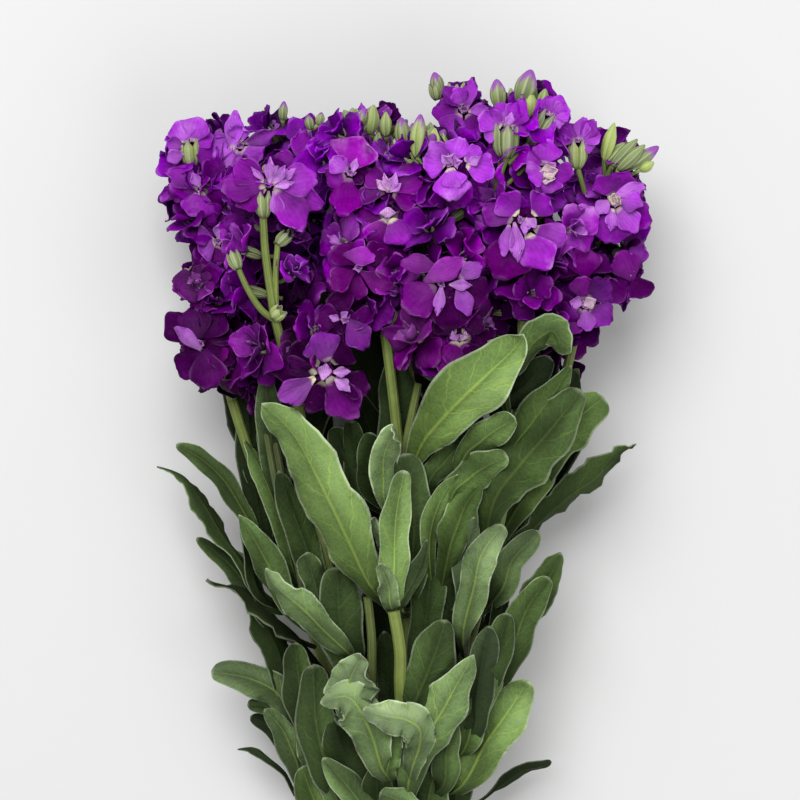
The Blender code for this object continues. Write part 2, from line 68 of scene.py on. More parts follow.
# name, place in the tie (column, row), foot and tip of the flower head, length of its buds
stemRows = (
    ("a", (-1.5, 1), (-90, 52, 44), (-100, 138, 50), 15),
    ("b", (-1.0, 0), (-50, 32, 29), (-59, 144, 29), 16),
    ("c", (0.0, 0), (4, 22, 29), (-6, 148, 29), 20),
    ("d", (1.0, 0), (50, 30, 31), (30, 163, 32), 20),
    ("e", (-1.0, 2), (-50, -2, 82), (-67, 112, 86), 12),
    ("f", (-0.5, 1), (-84, 0, 60), (-102, 62, 72), 10),
    ("g", (0.5, 1), (-8, 38, 80), (-23, 142, 78), 14),
    ("h", (0.0, 2), (22, 10, 86), (14, 136, 90), 20),
    ("i", (1.0, 2), (60, 32, 84), (62, 158, 84), 22),
    ("j", (1.5, 1), (82, 8, 54), (112, 134, 58), 20),
)

# Florets in front: head, share of the way up it, turn from the front to the right, size, and how open it is
frontFlorets = (
    ("a", 0.88, 48, 0.92, "open"),
    ("a", 0.66, -24, 0.94, "open"),
    ("a", 0.24, 14, 0.96, "open"),
    ("e", 0.90, 6, 1.06, "open"),
    ("e", 0.12, 46, 1.12, "open"),
    ("e", 0.24, -44, 0.96, "folded"),
    ("f", 0.30, -26, 1.02, "folded"),
    ("g", 0.06, -46, 1.00, "open"),
    ("g", 0.24, -6, 1.04, "folded"),
    ("g", 0.64, -12, 1.06, "open"),
    ("g", 0.56, 46, 0.98, "flat"),
    ("g", 0.92, 8, 0.84, "open"),
    ("h", 0.86, 36, 0.96, "open"),
    ("h", 0.66, -50, 0.92, "open"),
    ("h", 0.40, 14, 1.08, "flat"),
    ("h", 0.14, 22, 1.02, "open"),
    ("i", 0.46, -2, 1.12, "open"),
    ("i", 0.66, 36, 0.90, "messy"),
    ("i", 0.88, -32, 0.84, "open"),
    ("i", 0.14, 30, 0.94, "flat"),
    ("j", 0.76, 2, 1.04, "open"),
    ("j", 0.52, -36, 0.96, "folded"),
    ("j", 0.50, 40, 0.98, "open"),
    ("j", 0.28, -6, 1.04, "flat"),
    ("d", 0.84, 2, 0.98, "open"),
    ("c", 0.06, -58, 1.00, "open"),
    ("c", 0.14, 44, 1.00, "flat"),
)

# The frame's leaves that no shown leaf stands in for: stem, height of the root, tip, width, roll in degrees
placedLeaves = (
    ("f", -82, (-80, 20, 86), 15, -8),
    ("c", -84, (-24, 8, 54), 19, -8),
    ("c", -70, (10, 2, 50), 17, 6),
    ("b", -80, (-44, 16, 50), 17, -6),
    ("b", -112, (-62, -22, 26), 24, -10),
    ("b", -152, (-50, -72, 22), 22, 8),
    ("b", -200, (-34, -128, 15), 20, -8),
    ("c", -112, (-16, -22, 30), 24, 12),
    ("c", -150, (10, -70, 24), 22, -10),
    ("c", -196, (-8, -120, 18), 20, 10),
    ("d", -76, (30, 6, 36), 23, 8),
    ("d", -112, (52, -24, 26), 24, 12),
    ("d", -152, (34, -72, 22), 22, -8),
    ("d", -200, (30, -128, 15), 20, 10),
)


def draw(*keys):
    # a fixed number from 0 to 1 for these keys
    total = sum(key * step for key, step in zip(keys, (12.9898, 78.233, 37.719)))
    return math.sin(total) * 43758.5453 % 1.0


def place(row):
    return Vector(row) * mm


def clamped(value):
    return min(max(value, 0), 1)


def smoothStep(low, high, value):
    t = clamped((value - low) / (high - low))
    return t * t * (3 - 2 * t)


def rowsOf(table, stem):
    # the rows of a table that belong to this stem, without its name
    return [row[1:] for row in table if row[0] == stem.name]


def tapered(first, last, steps):
    # radii from the first to the last in even steps
    return [first + (last - first) * k / steps for k in range(steps + 1)]


def turned(first, second, angle):
    # the first direction turned towards the second, which is square to it
    return first * math.cos(angle) + second * math.sin(angle)


def sideAxes(direction):
    # two unit vectors square to the direction, the second as near to up as it can be
    lift = up - direction * direction.dot(up)
    if lift.length < 0.05:
        lift = along - direction * direction.dot(along)
    lift.normalize()
    return direction.cross(lift), lift


def bezier(t, *p):
    u = 1 - t
    return p[0] * u**3 + p[1] * 3 * u * u * t + p[2] * 3 * u * t * t + p[3] * t**3


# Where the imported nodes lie: the frame's own points, seen from the plan's zero point
tieLow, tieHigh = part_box("tie")
planZero = Vector(((tieLow.x + tieHigh.x) / 2, (tieLow.y + tieHigh.y) / 2 - plan["tieY"], 0))


def nodePoints(name):
    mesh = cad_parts[name].data
    tree = kdtree.KDTree(len(mesh.vertices))
    for k, vert in enumerate(mesh.vertices):
        tree.insert(vert.co - planZero, k)
    tree.balance()
    return tree


class Stem:
    def __init__(self, index, name, slot, base, tip, buds):
        column, row = slot
        self.index, self.name = index, name
        self.base, self.tip = place(base), place(tip)
        self.axis = (self.tip - self.base).normalized()
        self.coreTop = self.tip - self.axis * buds * mm
        self.buds = buds * mm
        self.slotX = column * plan["slotPitch"]
        floorRow = plan["tieThickness"] * math.cos(math.pi / plan["tieSides"]) + plan["gap"]
        self.slotZ = floorRow + plan["stemRadius"] + row * plan["slotPitch"] * math.sqrt(3) / 2
        self.cutZ = self.slotZ - floorRow
        tiePoint = Vector((self.slotX, plan["tieY"] + plan["tieWidth"], self.slotZ))
        reach = (self.base - tiePoint).length * 0.36
        self.handles = (tiePoint, tiePoint + along * reach, self.base - self.axis * reach, self.base)
        self.headPoints = nodePoints("head_" + name)
        self.leafPoints = nodePoints("stem_" + name)

    def at(self, t):
        return bezier(t, *self.handles)

    def atY(self, y):
        low, high = 0.0, 1.0
        for _ in range(24):
            middle = (low + high) / 2
            low, high = (middle, high) if self.at(middle).y < y else (low, middle)
        return low

    def direction(self, t):
        return (self.at(min(t + 0.01, 1)) - self.at(max(t - 0.01, 0))).normalized()


stems = [Stem(k, *row) for k, row in enumerate(stemRows)]
stemNamed = {stem.name: stem for stem in stems}
print("frame read:", len(stems), "stems")


# Small modelling tools

def newShape():
    bm = bmesh.new()
    bm.loops.layers.uv.new("patternUv")
    bm.verts.layers.float_color.new("tone")
    return bm


def addInto(bm, part):
    # moves one small bmesh into the piece's own
    carrier = bpy.data.meshes.new("carrier")
    part.to_mesh(carrier)
    part.free()
    bm.from_mesh(carrier)
    bpy.data.meshes.remove(carrier)


def newSheet(columns, rows):
    # a flat sheet of quads, and its points as (vert, u from -1 to 1 across, v from 0 to 1 along)
    part = newShape()
    bmesh.ops.create_grid(part, x_segments=columns, y_segments=rows, size=0.5, calc_uvs=True)
    return part, [(vert, vert.co.x * 2, vert.co.y + 0.5) for vert in part.verts]


def toneLayer(part):
    return part.verts.layers.float_color["tone"]


def newTube(points, radii, sides):
    # a closed tube along the points: a cylinder cut into rings that are then moved to the route
    steps = len(points) - 1
    part = newShape()
    bmesh.ops.create_cone(part, cap_ends=True, segments=sides, radius1=1, radius2=1, depth=1, calc_uvs=True)
    if steps > 1:
        sideEdges = [e for e in part.edges if abs(e.verts[0].co.z - e.verts[1].co.z) > 0.5]
        bmesh.ops.subdivide_edges(part, edges=sideEdges, cuts=steps - 1)
    frames = []
    lift = None
    for k, centre in enumerate(points):
        ahead = (points[min(k + 1, steps)] - points[max(k - 1, 0)]).normalized()
        if lift is None:
            lift = sideAxes(ahead)[1]
        lift = (lift - ahead * ahead.dot(lift)).normalized()
        frames.append((centre, ahead.cross(lift), lift))
    for vert in part.verts:
        k = round((vert.co.z + 0.5) * steps)
        centre, across, lift = frames[k]
        vert.co = centre + (across * vert.co.x + lift * vert.co.y) * radii[k]
    return part


def addTube(bm, points, radii, sides, tone):
    part = newTube(points, radii, sides)
    layer = toneLayer(part)
    for vert in part.verts:
        vert[layer] = tone
    addInto(bm, part)


def newObject(name, data):
    made = bpy.data.objects.new(name, data)
    bpy.context.scene.collection.objects.link(made)
    return made


def finishPiece(name, bm, materials, slotName, *nodes, thickness=0.0):
    # moves the shape from the plan to the frame, makes it an object and ties it to the part
    bmesh.ops.translate(bm, verts=bm.verts, vec=planZero)
    mesh = bpy.data.meshes.new(name)
    bm.to_mesh(mesh)
    bm.free()
    mesh.shade_smooth()
    for finish in materials:
        mesh.materials.append(finish)
    piece = newObject(name, mesh)
    if thickness:
        wall = piece.modifiers.new("wall", "SOLIDIFY")
        wall.thickness = thickness
        wall.offset = 0
        wall.use_even_offset = False
    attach(piece, "root")
    if nodes:
        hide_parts(*nodes)
    return piece


# Materials. Every finish reads the piece's own patternUv and tone: tone holds lightness, which carries
# painted light and shade, hue, paleness and, in its alpha, how much of the throat or tip colour shows.

def newMaterial(name, roughness, sheen=0.0, specular=0.5, sheenTint=(1, 1, 1)):
    finish = bpy.data.materials.new(name)
    finish.use_nodes = True
    shader = finish.node_tree.nodes["Principled BSDF"]
    shader.inputs["Roughness"].default_value = roughness
    shader.inputs["Sheen Weight"].default_value = sheen
    shader.inputs["Sheen Roughness"].default_value = 0.5
    shader.inputs["Sheen Tint"].default_value = (*sheenTint, 1)
    shader.inputs["Specular IOR Level"].default_value = specular
    return finish


class Wiring:
    # short ways to add nodes to one node tree
    def __init__(self, tree):
        self.tree = tree

    def node(self, kind, **settings):
        made = self.tree.nodes.new(kind)
        for key, value in settings.items():
            setattr(made, key, value)
        return made

    def plug(self, value, socket):
        if isinstance(value, bpy.types.NodeSocket):
            self.tree.links.new(value, socket)
        else:
            socket.default_value = value

    def math(self, operation, *values, clamp=False):
        made = self.node("ShaderNodeMath", operation=operation, use_clamp=clamp)
        for value, socket in zip(values, made.inputs):
            self.plug(value, socket)
        return made.outputs[0]

    def times(self, first, second):
        return self.math("MULTIPLY", first, second)

    def plus(self, first, second):
        return self.math("ADD", first, second)

    def minus(self, first, second):
        return self.math("SUBTRACT", first, second)

    def ramp(self, value, low, high, start=0.0, end=1.0):
        made = self.node("ShaderNodeMapRange", interpolation_type="SMOOTHSTEP")
        for number, socket in zip((value, low, high, start, end), made.inputs):
            self.plug(number, socket)
        return made.outputs[0]

    def mix(self, share, first, second, blend="MIX"):
        made = self.node("ShaderNodeMix", data_type="RGBA", blend_type=blend)
        self.plug(share, made.inputs[0])
        for colour, socket in ((first, made.inputs[6]), (second, made.inputs[7])):
            self.plug(colour if isinstance(colour, bpy.types.NodeSocket) else (*colour, 1), socket)
        return made.outputs[2]

    def scaled(self, colour, factor):
        made = self.node("ShaderNodeVectorMath", operation="SCALE")
        self.plug(colour, made.inputs[0])
        self.plug(factor, made.inputs["Scale"])
        return made.outputs[0]

    def noise(self, scale, detail=2.0, vector=None):
        made = self.node("ShaderNodeTexNoise")
        made.inputs["Scale"].default_value = scale
        made.inputs["Detail"].default_value = detail
        if vector is None:
            vector = self.node("ShaderNodeTexCoord").outputs["Object"]
        self.plug(vector, made.inputs["Vector"])
        return made.outputs[0]

    def tone(self):
        made = self.node("ShaderNodeAttribute", attribute_name="tone")
        split = self.node("ShaderNodeSeparateColor")
        self.plug(made.outputs["Color"], split.inputs[0])
        return (*split.outputs, made.outputs["Alpha"])

    def uv(self):
        made = self.node("ShaderNodeUVMap", uv_map="patternUv")
        split = self.node("ShaderNodeSeparateXYZ")
        self.plug(made.outputs[0], split.inputs[0])
        return split.outputs[0], split.outputs[1]

    def dress(self, colour, height, depth):
        # ends a material: its colour, and a relief of so many metres
        shader = self.tree.nodes["Principled BSDF"]
        relief = self.node("ShaderNodeBump")
        relief.inputs["Strength"].default_value = 1.0
        relief.inputs["Distance"].default_value = depth
        self.plug(height, relief.inputs["Height"])
        self.plug(colour, shader.inputs["Base Color"])
        self.plug(relief.outputs[0], shader.inputs["Normal"])


def mottleGroup():
    # soft lighter and darker patches, shared by the green finishes and the petals
    group = bpy.data.node_groups.new("mottle", "ShaderNodeTree")
    group.interface.new_socket("Colour", in_out="INPUT", socket_type="NodeSocketColor")
    group.interface.new_socket("Scale", in_out="INPUT", socket_type="NodeSocketFloat")
    group.interface.new_socket("Amount", in_out="INPUT", socket_type="NodeSocketFloat")
    group.interface.new_socket("Colour", in_out="OUTPUT", socket_type="NodeSocketColor")
    wire = Wiring(group)
    enter = wire.node("NodeGroupInput")
    leave = wire.node("NodeGroupOutput")
    patches = wire.node("ShaderNodeTexNoise")
    patches.inputs["Detail"].default_value = 4
    wire.plug(wire.node("ShaderNodeTexCoord").outputs["Object"], patches.inputs["Vector"])
    wire.plug(enter.outputs["Scale"], patches.inputs["Scale"])
    swing = wire.times(wire.minus(patches.outputs[0], 0.5), enter.outputs["Amount"])
    wire.plug(wire.scaled(enter.outputs["Colour"], wire.plus(swing, 1)), leave.inputs[0])
    return group


mottle = mottleGroup()


def mottled(wire, colour, scale, amount):
    made = wire.node("ShaderNodeGroup", node_tree=mottle)
    wire.plug(colour, made.inputs["Colour"])
    made.inputs["Scale"].default_value = scale
    made.inputs["Amount"].default_value = amount
    return made.outputs[0]


petalFinish = {
    "violet": (0.272, 0.001, 0.480),
    "magenta": (0.232, 0.000, 0.262),
    "lilac": (0.770, 0.390, 0.880),
    "cream": (0.760, 0.700, 0.500),
    "throatLine": (0.450, 0.400, 0.200),
    "veins": 7,
    "veinDepth": (0.10, 0.30),  # in all petals, and more in pale ones
    "wander": (260, 0.22),  # scale and share of the veins' wandering
    "shades": (0.03, 1.30),
    "blotches": (130, 1.1),
    "specks": (420, 0.35),
    # painted highlight: soft lilac patches on the lit petals
    "paintedHighlight": (75, 0.46, 0.72, 0.42),  # scale, where it starts and is full, and its share
    # paler margin, with painted highlight where the lit rims catch the light
    "rim": (0.84, 0.34),
    "rimPatches": (170, 0.40, 0.66),
    "throatFrom": 0.16,
    "throatTo": 0.05,
    "roughness": 0.40,
    "crumple": (150, 9.0),
    "relief": 0.0002,
}


def petalMaterial():
    look = petalFinish
    finish = newMaterial("stockPetal", look["roughness"], specular=0.02)
    wire = Wiring(finish.node_tree)
    lightness, hue, paleness, throat = wire.tone()
    u, v = wire.uv()
    wanderScale, wanderShare = look["wander"]
    wander = wire.times(wire.minus(wire.noise(wanderScale, 2), 0.5), wanderShare)
    across = wire.plus(u, wander)
    wave = wire.math("SINE", wire.times(across, math.tau * look["veins"]))
    veins = wire.ramp(wave, 0.2, 1.0)
    base = wire.mix(hue, look["violet"], look["magenta"])
    base = wire.scaled(base, wire.ramp(lightness, 0, 1, *look["shades"]))
    base = wire.mix(paleness, base, look["lilac"])
    base = mottled(wire, base, *look["blotches"])
    base = mottled(wire, base, *look["specks"])
    # painted highlight: lilac patches that grow with the cube of lightness
    highlightScale, highlightFrom, highlightFull, highlightShare = look["paintedHighlight"]
    highlightByLight = wire.times(wire.math("POWER", lightness, 3.0), highlightShare)
    paintedHighlight = wire.times(wire.ramp(wire.noise(highlightScale, 3), highlightFrom, highlightFull), highlightByLight)
    base = wire.mix(paintedHighlight, base, look["lilac"])
    depthInAll, depthInPale = look["veinDepth"]
    veinDepth = wire.plus(wire.times(paleness, depthInPale), depthInAll)
    base = wire.scaled(base, wire.minus(1, wire.times(veins, veinDepth)))
    # a paler lilac margin, partly painted highlight: it is mixed in by lightness, as where lit rims catch the
    # light
    reach = wire.math("ABSOLUTE", wire.minus(wire.times(u, 2), 1))
    rimFrom, rimShare = look["rim"]
    rim = wire.ramp(wire.math("MAXIMUM", reach, v), rimFrom, 1.0, 0.0, rimShare)
    patchScale, patchFrom, patchFull = look["rimPatches"]
    rim = wire.times(rim, wire.ramp(wire.noise(patchScale, 2), patchFrom, patchFull))
    base = wire.mix(wire.times(rim, lightness), base, look["lilac"])
    eye = wire.ramp(wire.plus(v, wander), look["throatFrom"], look["throatTo"])
    lines = wire.mix(wire.ramp(wave, 0.5, 0.9), look["cream"], look["throatLine"])
    cream = wire.math("MAXIMUM", wire.times(eye, throat), wire.minus(throat, 1), clamp=True)
    base = wire.mix(cream, base, lines)
    crumpleScale, crumpleShare = look["crumple"]
    crumple = wire.times(wire.noise(crumpleScale, 3), crumpleShare)
    height = wire.plus(wire.times(veins, -0.2), wire.noise(700, 3))
    wire.dress(base, wire.plus(height, crumple), look["relief"])
    return finish


leafFinish = {
    "greyGreen": (0.064, 0.126, 0.038),
    "sage": (0.138, 0.226, 0.046),
    "pale": (0.240, 0.310, 0.185),
    "midrib": (0.300, 0.430, 0.085),
    "margin": (0.420, 0.510, 0.320),
    "veinPairs": 7,
    "veinSlant": 0.16,
    "wander": (140, 0.10),
    "sideVeinFrom": 0.94,
    "net": (330, 0.14, 0.45),  # scale, width and share of the fine net
    "veinShare": 1.1,
    "ribWidth": (0.20, 0.035),
    "shades": (0.10, 1.66),
    "blotches": (45, 0.8),
    "shine": (1.3, 0.08),
    "rim": (0.90, 0.985, 0.85),
    "rimShine": (1.3, 0.24),
    "roughness": 0.60,
    "sheen": 0.01,
    "sheenTint": (0.86, 0.95, 0.80),
    "specular": 0.07,
    "relief": 0.0006,
}


def leafMaterial():
    look = leafFinish
    finish = newMaterial("stockLeaf", look["roughness"], look["sheen"], look["specular"], look["sheenTint"])
    wire = Wiring(finish.node_tree)
    lightness, hue, paleness, ribShare = wire.tone()
    u, v = wire.uv()
    reach = wire.math("ABSOLUTE", wire.minus(wire.times(u, 2), 1))
    wanderScale, wanderShare = look["wander"]
    wander = wire.times(wire.minus(wire.noise(wanderScale, 2), 0.5), wanderShare)
    slope = wire.minus(v, wire.times(wire.math("POWER", reach, 1.4), look["veinSlant"]))
    wave = wire.math("SINE", wire.times(wire.plus(slope, wander), math.tau * look["veinPairs"]))
    sideVeins = wire.ramp(wave, look["sideVeinFrom"], 1.0)
    netScale, netWidth, netShare = look["net"]
    net = wire.node("ShaderNodeTexVoronoi", feature="DISTANCE_TO_EDGE")
    net.inputs["Scale"].default_value = netScale
    wire.plug(wire.node("ShaderNodeTexCoord").outputs["Object"], net.inputs["Vector"])
    netLines = wire.ramp(net.outputs["Distance"], netWidth, 0.0)
    veins = wire.math("MAXIMUM", sideVeins, wire.times(netLines, netShare))
    rib = wire.times(wire.ramp(reach, wire.ramp(v, 0, 1, *look["ribWidth"]), 0.0), ribShare)
    base = wire.mix(hue, look["greyGreen"], look["sage"])
    base = wire.scaled(base, wire.ramp(lightness, 0, 1, *look["shades"]))
    base = mottled(wire, base, *look["blotches"])
    perLight, always = look["shine"]
    shine = wire.plus(wire.times(lightness, perLight), always)
    base = wire.mix(wire.times(paleness, 0.9), base, wire.scaled(look["pale"], shine))
    veinShare = wire.times(veins, wire.times(wire.math("POWER", lightness, 2.0), look["veinShare"]))
    base = wire.mix(veinShare, base, look["midrib"])
    base = wire.mix(rib, base, wire.scaled(look["midrib"], shine))
    rimFrom, rimFull, rimShare = look["rim"]
    edge = wire.ramp(wire.math("MAXIMUM", reach, wire.plus(v, -0.008)), rimFrom, rimFull, 0.0, rimShare)
    perLight, always = look["rimShine"]
    rimShine = wire.plus(wire.times(lightness, perLight), always)
    base = wire.mix(edge, base, wire.scaled(look["margin"], rimShine))
    grain = wire.plus(wire.times(veins, -0.25), wire.times(wire.noise(900, 3), 0.4))
    wire.dress(base, wire.plus(grain, wire.times(wire.noise(160, 3), 2.2)), look["relief"])
    return finish


greenFinish = {
    "dark": (0.060, 0.090, 0.034),
    "bright": (0.190, 0.250, 0.040),
    "pale": (0.480, 0.530, 0.310),
    "purple": (0.300, 0.080, 0.420),
    "darkest": 0.35,
    "blotches": (150, 0.6),
    "roughness": 0.58,
    "sheen": 0.03,
    "sheenTint": (0.9, 1.0, 0.85),
    "specular": 0.22,
    "relief": 0.0002,
}


def greenMaterial(name, streaks, streakShare, brightest):
    # stems, stalks, sepals and buds; the alpha of tone turns the surface purple
    look = greenFinish
    finish = newMaterial(name, look["roughness"], look["sheen"], look["specular"], look["sheenTint"])
    wire = Wiring(finish.node_tree)
    lightness, hue, paleness, purple = wire.tone()
    u, v = wire.uv()
    base = wire.mix(hue, look["dark"], look["bright"])
    base = wire.scaled(base, wire.ramp(lightness, 0, 1, look["darkest"], brightest))
    stripes = wire.math("SINE", wire.times(u, math.tau * streaks))
    base = mottled(wire, base, *look["blotches"])
    base = wire.mix(wire.ramp(stripes, 0.1, 1.0, 0.0, streakShare), base, look["pale"])
    base = wire.mix(paleness, base, look["pale"])
    base = wire.mix(purple, base, look["purple"])
    wire.dress(base, wire.plus(wire.times(stripes, 0.5), wire.noise(800, 3)), look["relief"])
    return finish


stockPetal = petalMaterial()
stockLeaf = leafMaterial()
stemSkin = greenMaterial("stemSkin", 9, 0.05, 1.25)
sepalSkin = greenMaterial("sepalSkin", 3, 0.45, 1.65)
budSkin = greenMaterial("budSkin", 8, 0.55, 2.20)
print("materials made")


# Petals and florets

petalShape = {
    "claw": 0.16,
    "widestAt": 0.62,
    "endWidth": 0.56,
    "small": 8 * mm,
    "smallEnd": 0.97,
    "cornerDrop": 0.26,
    "notch": (0.05, 0.10),  # its depth, and how much that varies
    "lean": 0.22,
    "unevenLight": 0.55,
    "waving": 0.24,
    "fineWaving": 0.10,
    "crinkle": 1.9 * mm,
    "crinkleScale": 70,
    "fullCrinkle": 13 * mm,
    "thickness": 0.28 * mm,
    "floor": 0.35 * mm,
    # painted shade inside a head: darkest within shadeFrom of its axis, none beyond shadeTo
    "shadeFrom": 4 * mm,
    "shadeTo": 24 * mm,
    "darkest": 0.35,
}


# Without a seed of its own, noise_vector takes the clock's, and the petals' crinkle changes with each run
crinkleSeed = 1796102345
noise.seed_set(crinkleSeed)


def randomly(*keys):
    # smooth noise from about -1 to 1 for these keys
    return noise.noise(Vector(keys))


def addPetal(bm, hub, ahead, normal, petal, tone, seed, axis=None):
    # one petal that leaves the hub ahead: petal holds length, width, bend towards its normal, cup, fold,
    # twist and grid. With the head's axis given, painted shade darkens it towards the inside of the head.
    look = petalShape
    length, width, bend, cup, fold, twist, grid = petal
    part, sheet = newSheet(*grid)
    layer = toneLayer(part)
    across = ahead.cross(normal)
    if abs(bend) < 0.01:
        bend = 0.01
    small = width < look["small"]
    crinkle = look["crinkle"] * min(1, width / look["fullCrinkle"])
    paintedHalfLight = look["unevenLight"] * randomly(seed, 9.1, 4.4)
    lean = look["lean"] * randomly(seed, 3.1, 0.7)
    notch = look["notch"][0] + look["notch"][1] * randomly(seed, 7.7, 1.9)
    for vert, u, v in sheet:
        if v < look["widestAt"]:
            share = look["claw"] + (1 - look["claw"]) * math.sin(math.pi / 2 * v / look["widestAt"]) ** 1.3
        else:
            past = (v - look["widestAt"]) / (1 - look["widestAt"])
            share = 1 - (1 - look["endWidth"]) * past * past
            if small:
                share = (1 - look["smallEnd"] * past * past) ** 0.5
        s = v - look["cornerDrop"] * v**3 * abs(u) ** 2.2 - notch * v**6 * math.exp(-(u * u) / 0.08)
        x = (u + lean * v * v) * share * width / 2
        theta = bend * s
        forward = length / bend * math.sin(theta)
        n = length / bend * (1 - math.cos(theta))
        h = cup * width * share * u * u * v + fold * abs(u) * share * width / 2
        h += look["waving"] * width * v**1.3 * randomly(u * 0.9, v * 1.7, seed * 5.3)
        h += look["fineWaving"] * width * v * abs(u) ** 1.5 * randomly(u * 3.1, v * 4.3, seed * 2.9)
        spin = twist * v
        x, h = x * math.cos(spin) - h * math.sin(spin), x * math.sin(spin) + h * math.cos(spin)
        lifted = turned(normal, -ahead, theta)
        spot = hub + ahead * forward + normal * n + across * x + lifted * h
        spot += noise.noise_vector(spot * look["crinkleScale"]) * crinkle * v
        spot.z = max(spot.z, look["floor"])
        vert.co = spot
        # painted light and shade: darker at the claw, and one half of the petal lighter than the other
        light = tone[0] * (0.68 + 0.40 * v) * (1 + paintedHalfLight * u)
        if axis:
            foot, way = axis
            arm = spot - foot
            arm -= way * arm.dot(way)
            outward = smoothStep(look["shadeFrom"], look["shadeTo"], arm.length)
            light *= look["darkest"] + (1 - look["darkest"]) * outward
        paler = tone[2] * (1.15 - 0.55 * v) * (1 - 0.3 * u * u)
        vert[layer] = (light, tone[1], paler, tone[3])
    addInto(bm, part)


# Petals of each kind of floret, from the outside in: how many, length and width as shares of the floret's
# radius, rise at the claw and at the end in degrees, cup, fold, how pale, how much throat shows, and grid
shownGrid, outerGrid, innerGrid, smallGrid = (8, 10), (6, 8), (5, 6), (3, 5)
floretKinds = {
    "open": (
        (4, 1.00, 0.98, 10, -14, 0.06, 0.00, 0.00, 0.5, outerGrid),
        (3, 0.88, 0.86, 30, 4, 0.10, 0.05, 0.03, 0.7, outerGrid),
        (4, 0.48, 0.24, 44, 62, 0.20, 0.50, 0.55, 0.7, smallGrid),
    ),
    "messy": (
        (4, 1.00, 0.96, 12, -22, 0.10, 0.05, 0.00, 0.3, outerGrid),
        (4, 0.90, 0.88, 38, 12, 0.14, 0.15, 0.04, 0.5, outerGrid),
        (3, 0.62, 0.44, 62, 66, 0.25, 0.35, 0.20, 0.7, innerGrid),
    ),
    "flat": (
        (4, 1.02, 1.02, 6, -16, 0.05, 0.00, 0.00, 0.8, outerGrid),
        (2, 0.80, 0.80, 22, -4, 0.08, 0.00, 0.05, 0.9, outerGrid),
        (4, 0.44, 0.22, 40, 54, 0.20, 0.40, 0.60, 0.8, smallGrid),
    ),
    "folded": (
        (4, 1.00, 0.90, 24, 16, 0.20, 0.40, 0.02, 0.2, outerGrid),
        (3, 0.90, 0.80, 50, 46, 0.25, 0.60, 0.05, 0.3, outerGrid),
        (3, 0.50, 0.24, 66, 70, 0.20, 0.60, 0.40, 0.5, smallGrid),
    ),
    "hidden": (
        (4, 0.96, 0.92, 20, -10, 0.12, 0.10, 0.00, 0.0, innerGrid),
        (3, 0.80, 0.76, 52, 30, 0.18, 0.25, 0.00, 0.1, innerGrid),
    ),
}

floretPlan = {
    "radius": 20 * mm,
    "seat": 21.5 * mm,
    "spacing": 6.2 * mm,
    "tilt": (6, 42),
    "sizes": (1.0, 0.88, 0.76, 0.64),
    "sepalLength": 12.0 * mm,
    "sepalRadius": 2.5 * mm,
    "stalkRadius": 1.0 * mm,
    "jitter": {"messy": 1.7, "folded": 1.4, "hidden": 1.8},
}


def facing(stem, turn, t):
    across, lift = sideAxes(stem.axis)
    low, high = floretPlan["tilt"]
    tilt = math.radians(low + (high - low) * t)
    sideways = turned(lift, across, turn)
    return turned(sideways, stem.axis, tilt).normalized()


def spiralFlorets(stem):
    length = (stem.coreTop - stem.base).length
    count = round(length / floretPlan["spacing"])
    for k in range(count):
        t = (k + 0.6) / count
        turn = goldenAngle * k + stem.index + 0.5 * (draw(stem.index, k, 1) - 0.5)
        out = facing(stem, turn, t + 0.4 * (draw(stem.index, k, 2) - 0.5))
        size = 1.04 - 0.22 * t + 0.10 * (draw(stem.index, k, 3) - 0.5)
        yield stem.base + stem.axis * length * t, out, size, math.tau * draw(stem.index, k, 4)


def rimPoints(centre, out, size, spin):
    # the outer points of a floret's rosette in the frame
    across, lift = sideAxes(out)
    r = floretPlan["radius"]
    step = math.tau / 4
    for k in range(4):
        a = spin + step * k
        wave = 0.10 * r * math.cos(2 * a + 3 * spin)
        for turn, radius, height in (
            (-0.35, 0.94 * r, wave - 0.02 * r),
            (0.0, 1.06 * r, 0.12 * r - wave),
            (0.35, 0.94 * r, wave + 0.08 * r),
            (0.50, 0.66 * r, 0.02 * r),
        ):
            angle = a + turn * step
            sideways = turned(across, lift, angle)
            yield centre + (sideways * radius + out * height) * size


def foundSize(stem, seat, out, size, spin):
    # the size at which this floret is in the frame, or None where it found no room there
    for share in floretPlan["sizes"]:
        centre = seat + out * floretPlan["seat"] * size * share
        met = sum(stem.headPoints.find(p)[2] < 3e-5 for p in rimPoints(centre, out, size * share, spin))
        if met >= 3:
            return size * share
    return None


def floretTone(centre, rng):
    # painted light and shade: higher florets are lighter, as lit from above, low and deep ones darker;
    # low ones are also redder, higher ones bluer
    height = smoothStep(-10 * mm, 135 * mm, centre.y)
    depth = smoothStep(20 * mm, 105 * mm, centre.z)
    lightness = 0.20 + 0.42 * height + 0.28 * depth + rng.uniform(-0.14, 0.14)
    hue = 0.95 - 0.85 * height + rng.uniform(-0.30, 0.30)
    return lightness, clamped(hue)


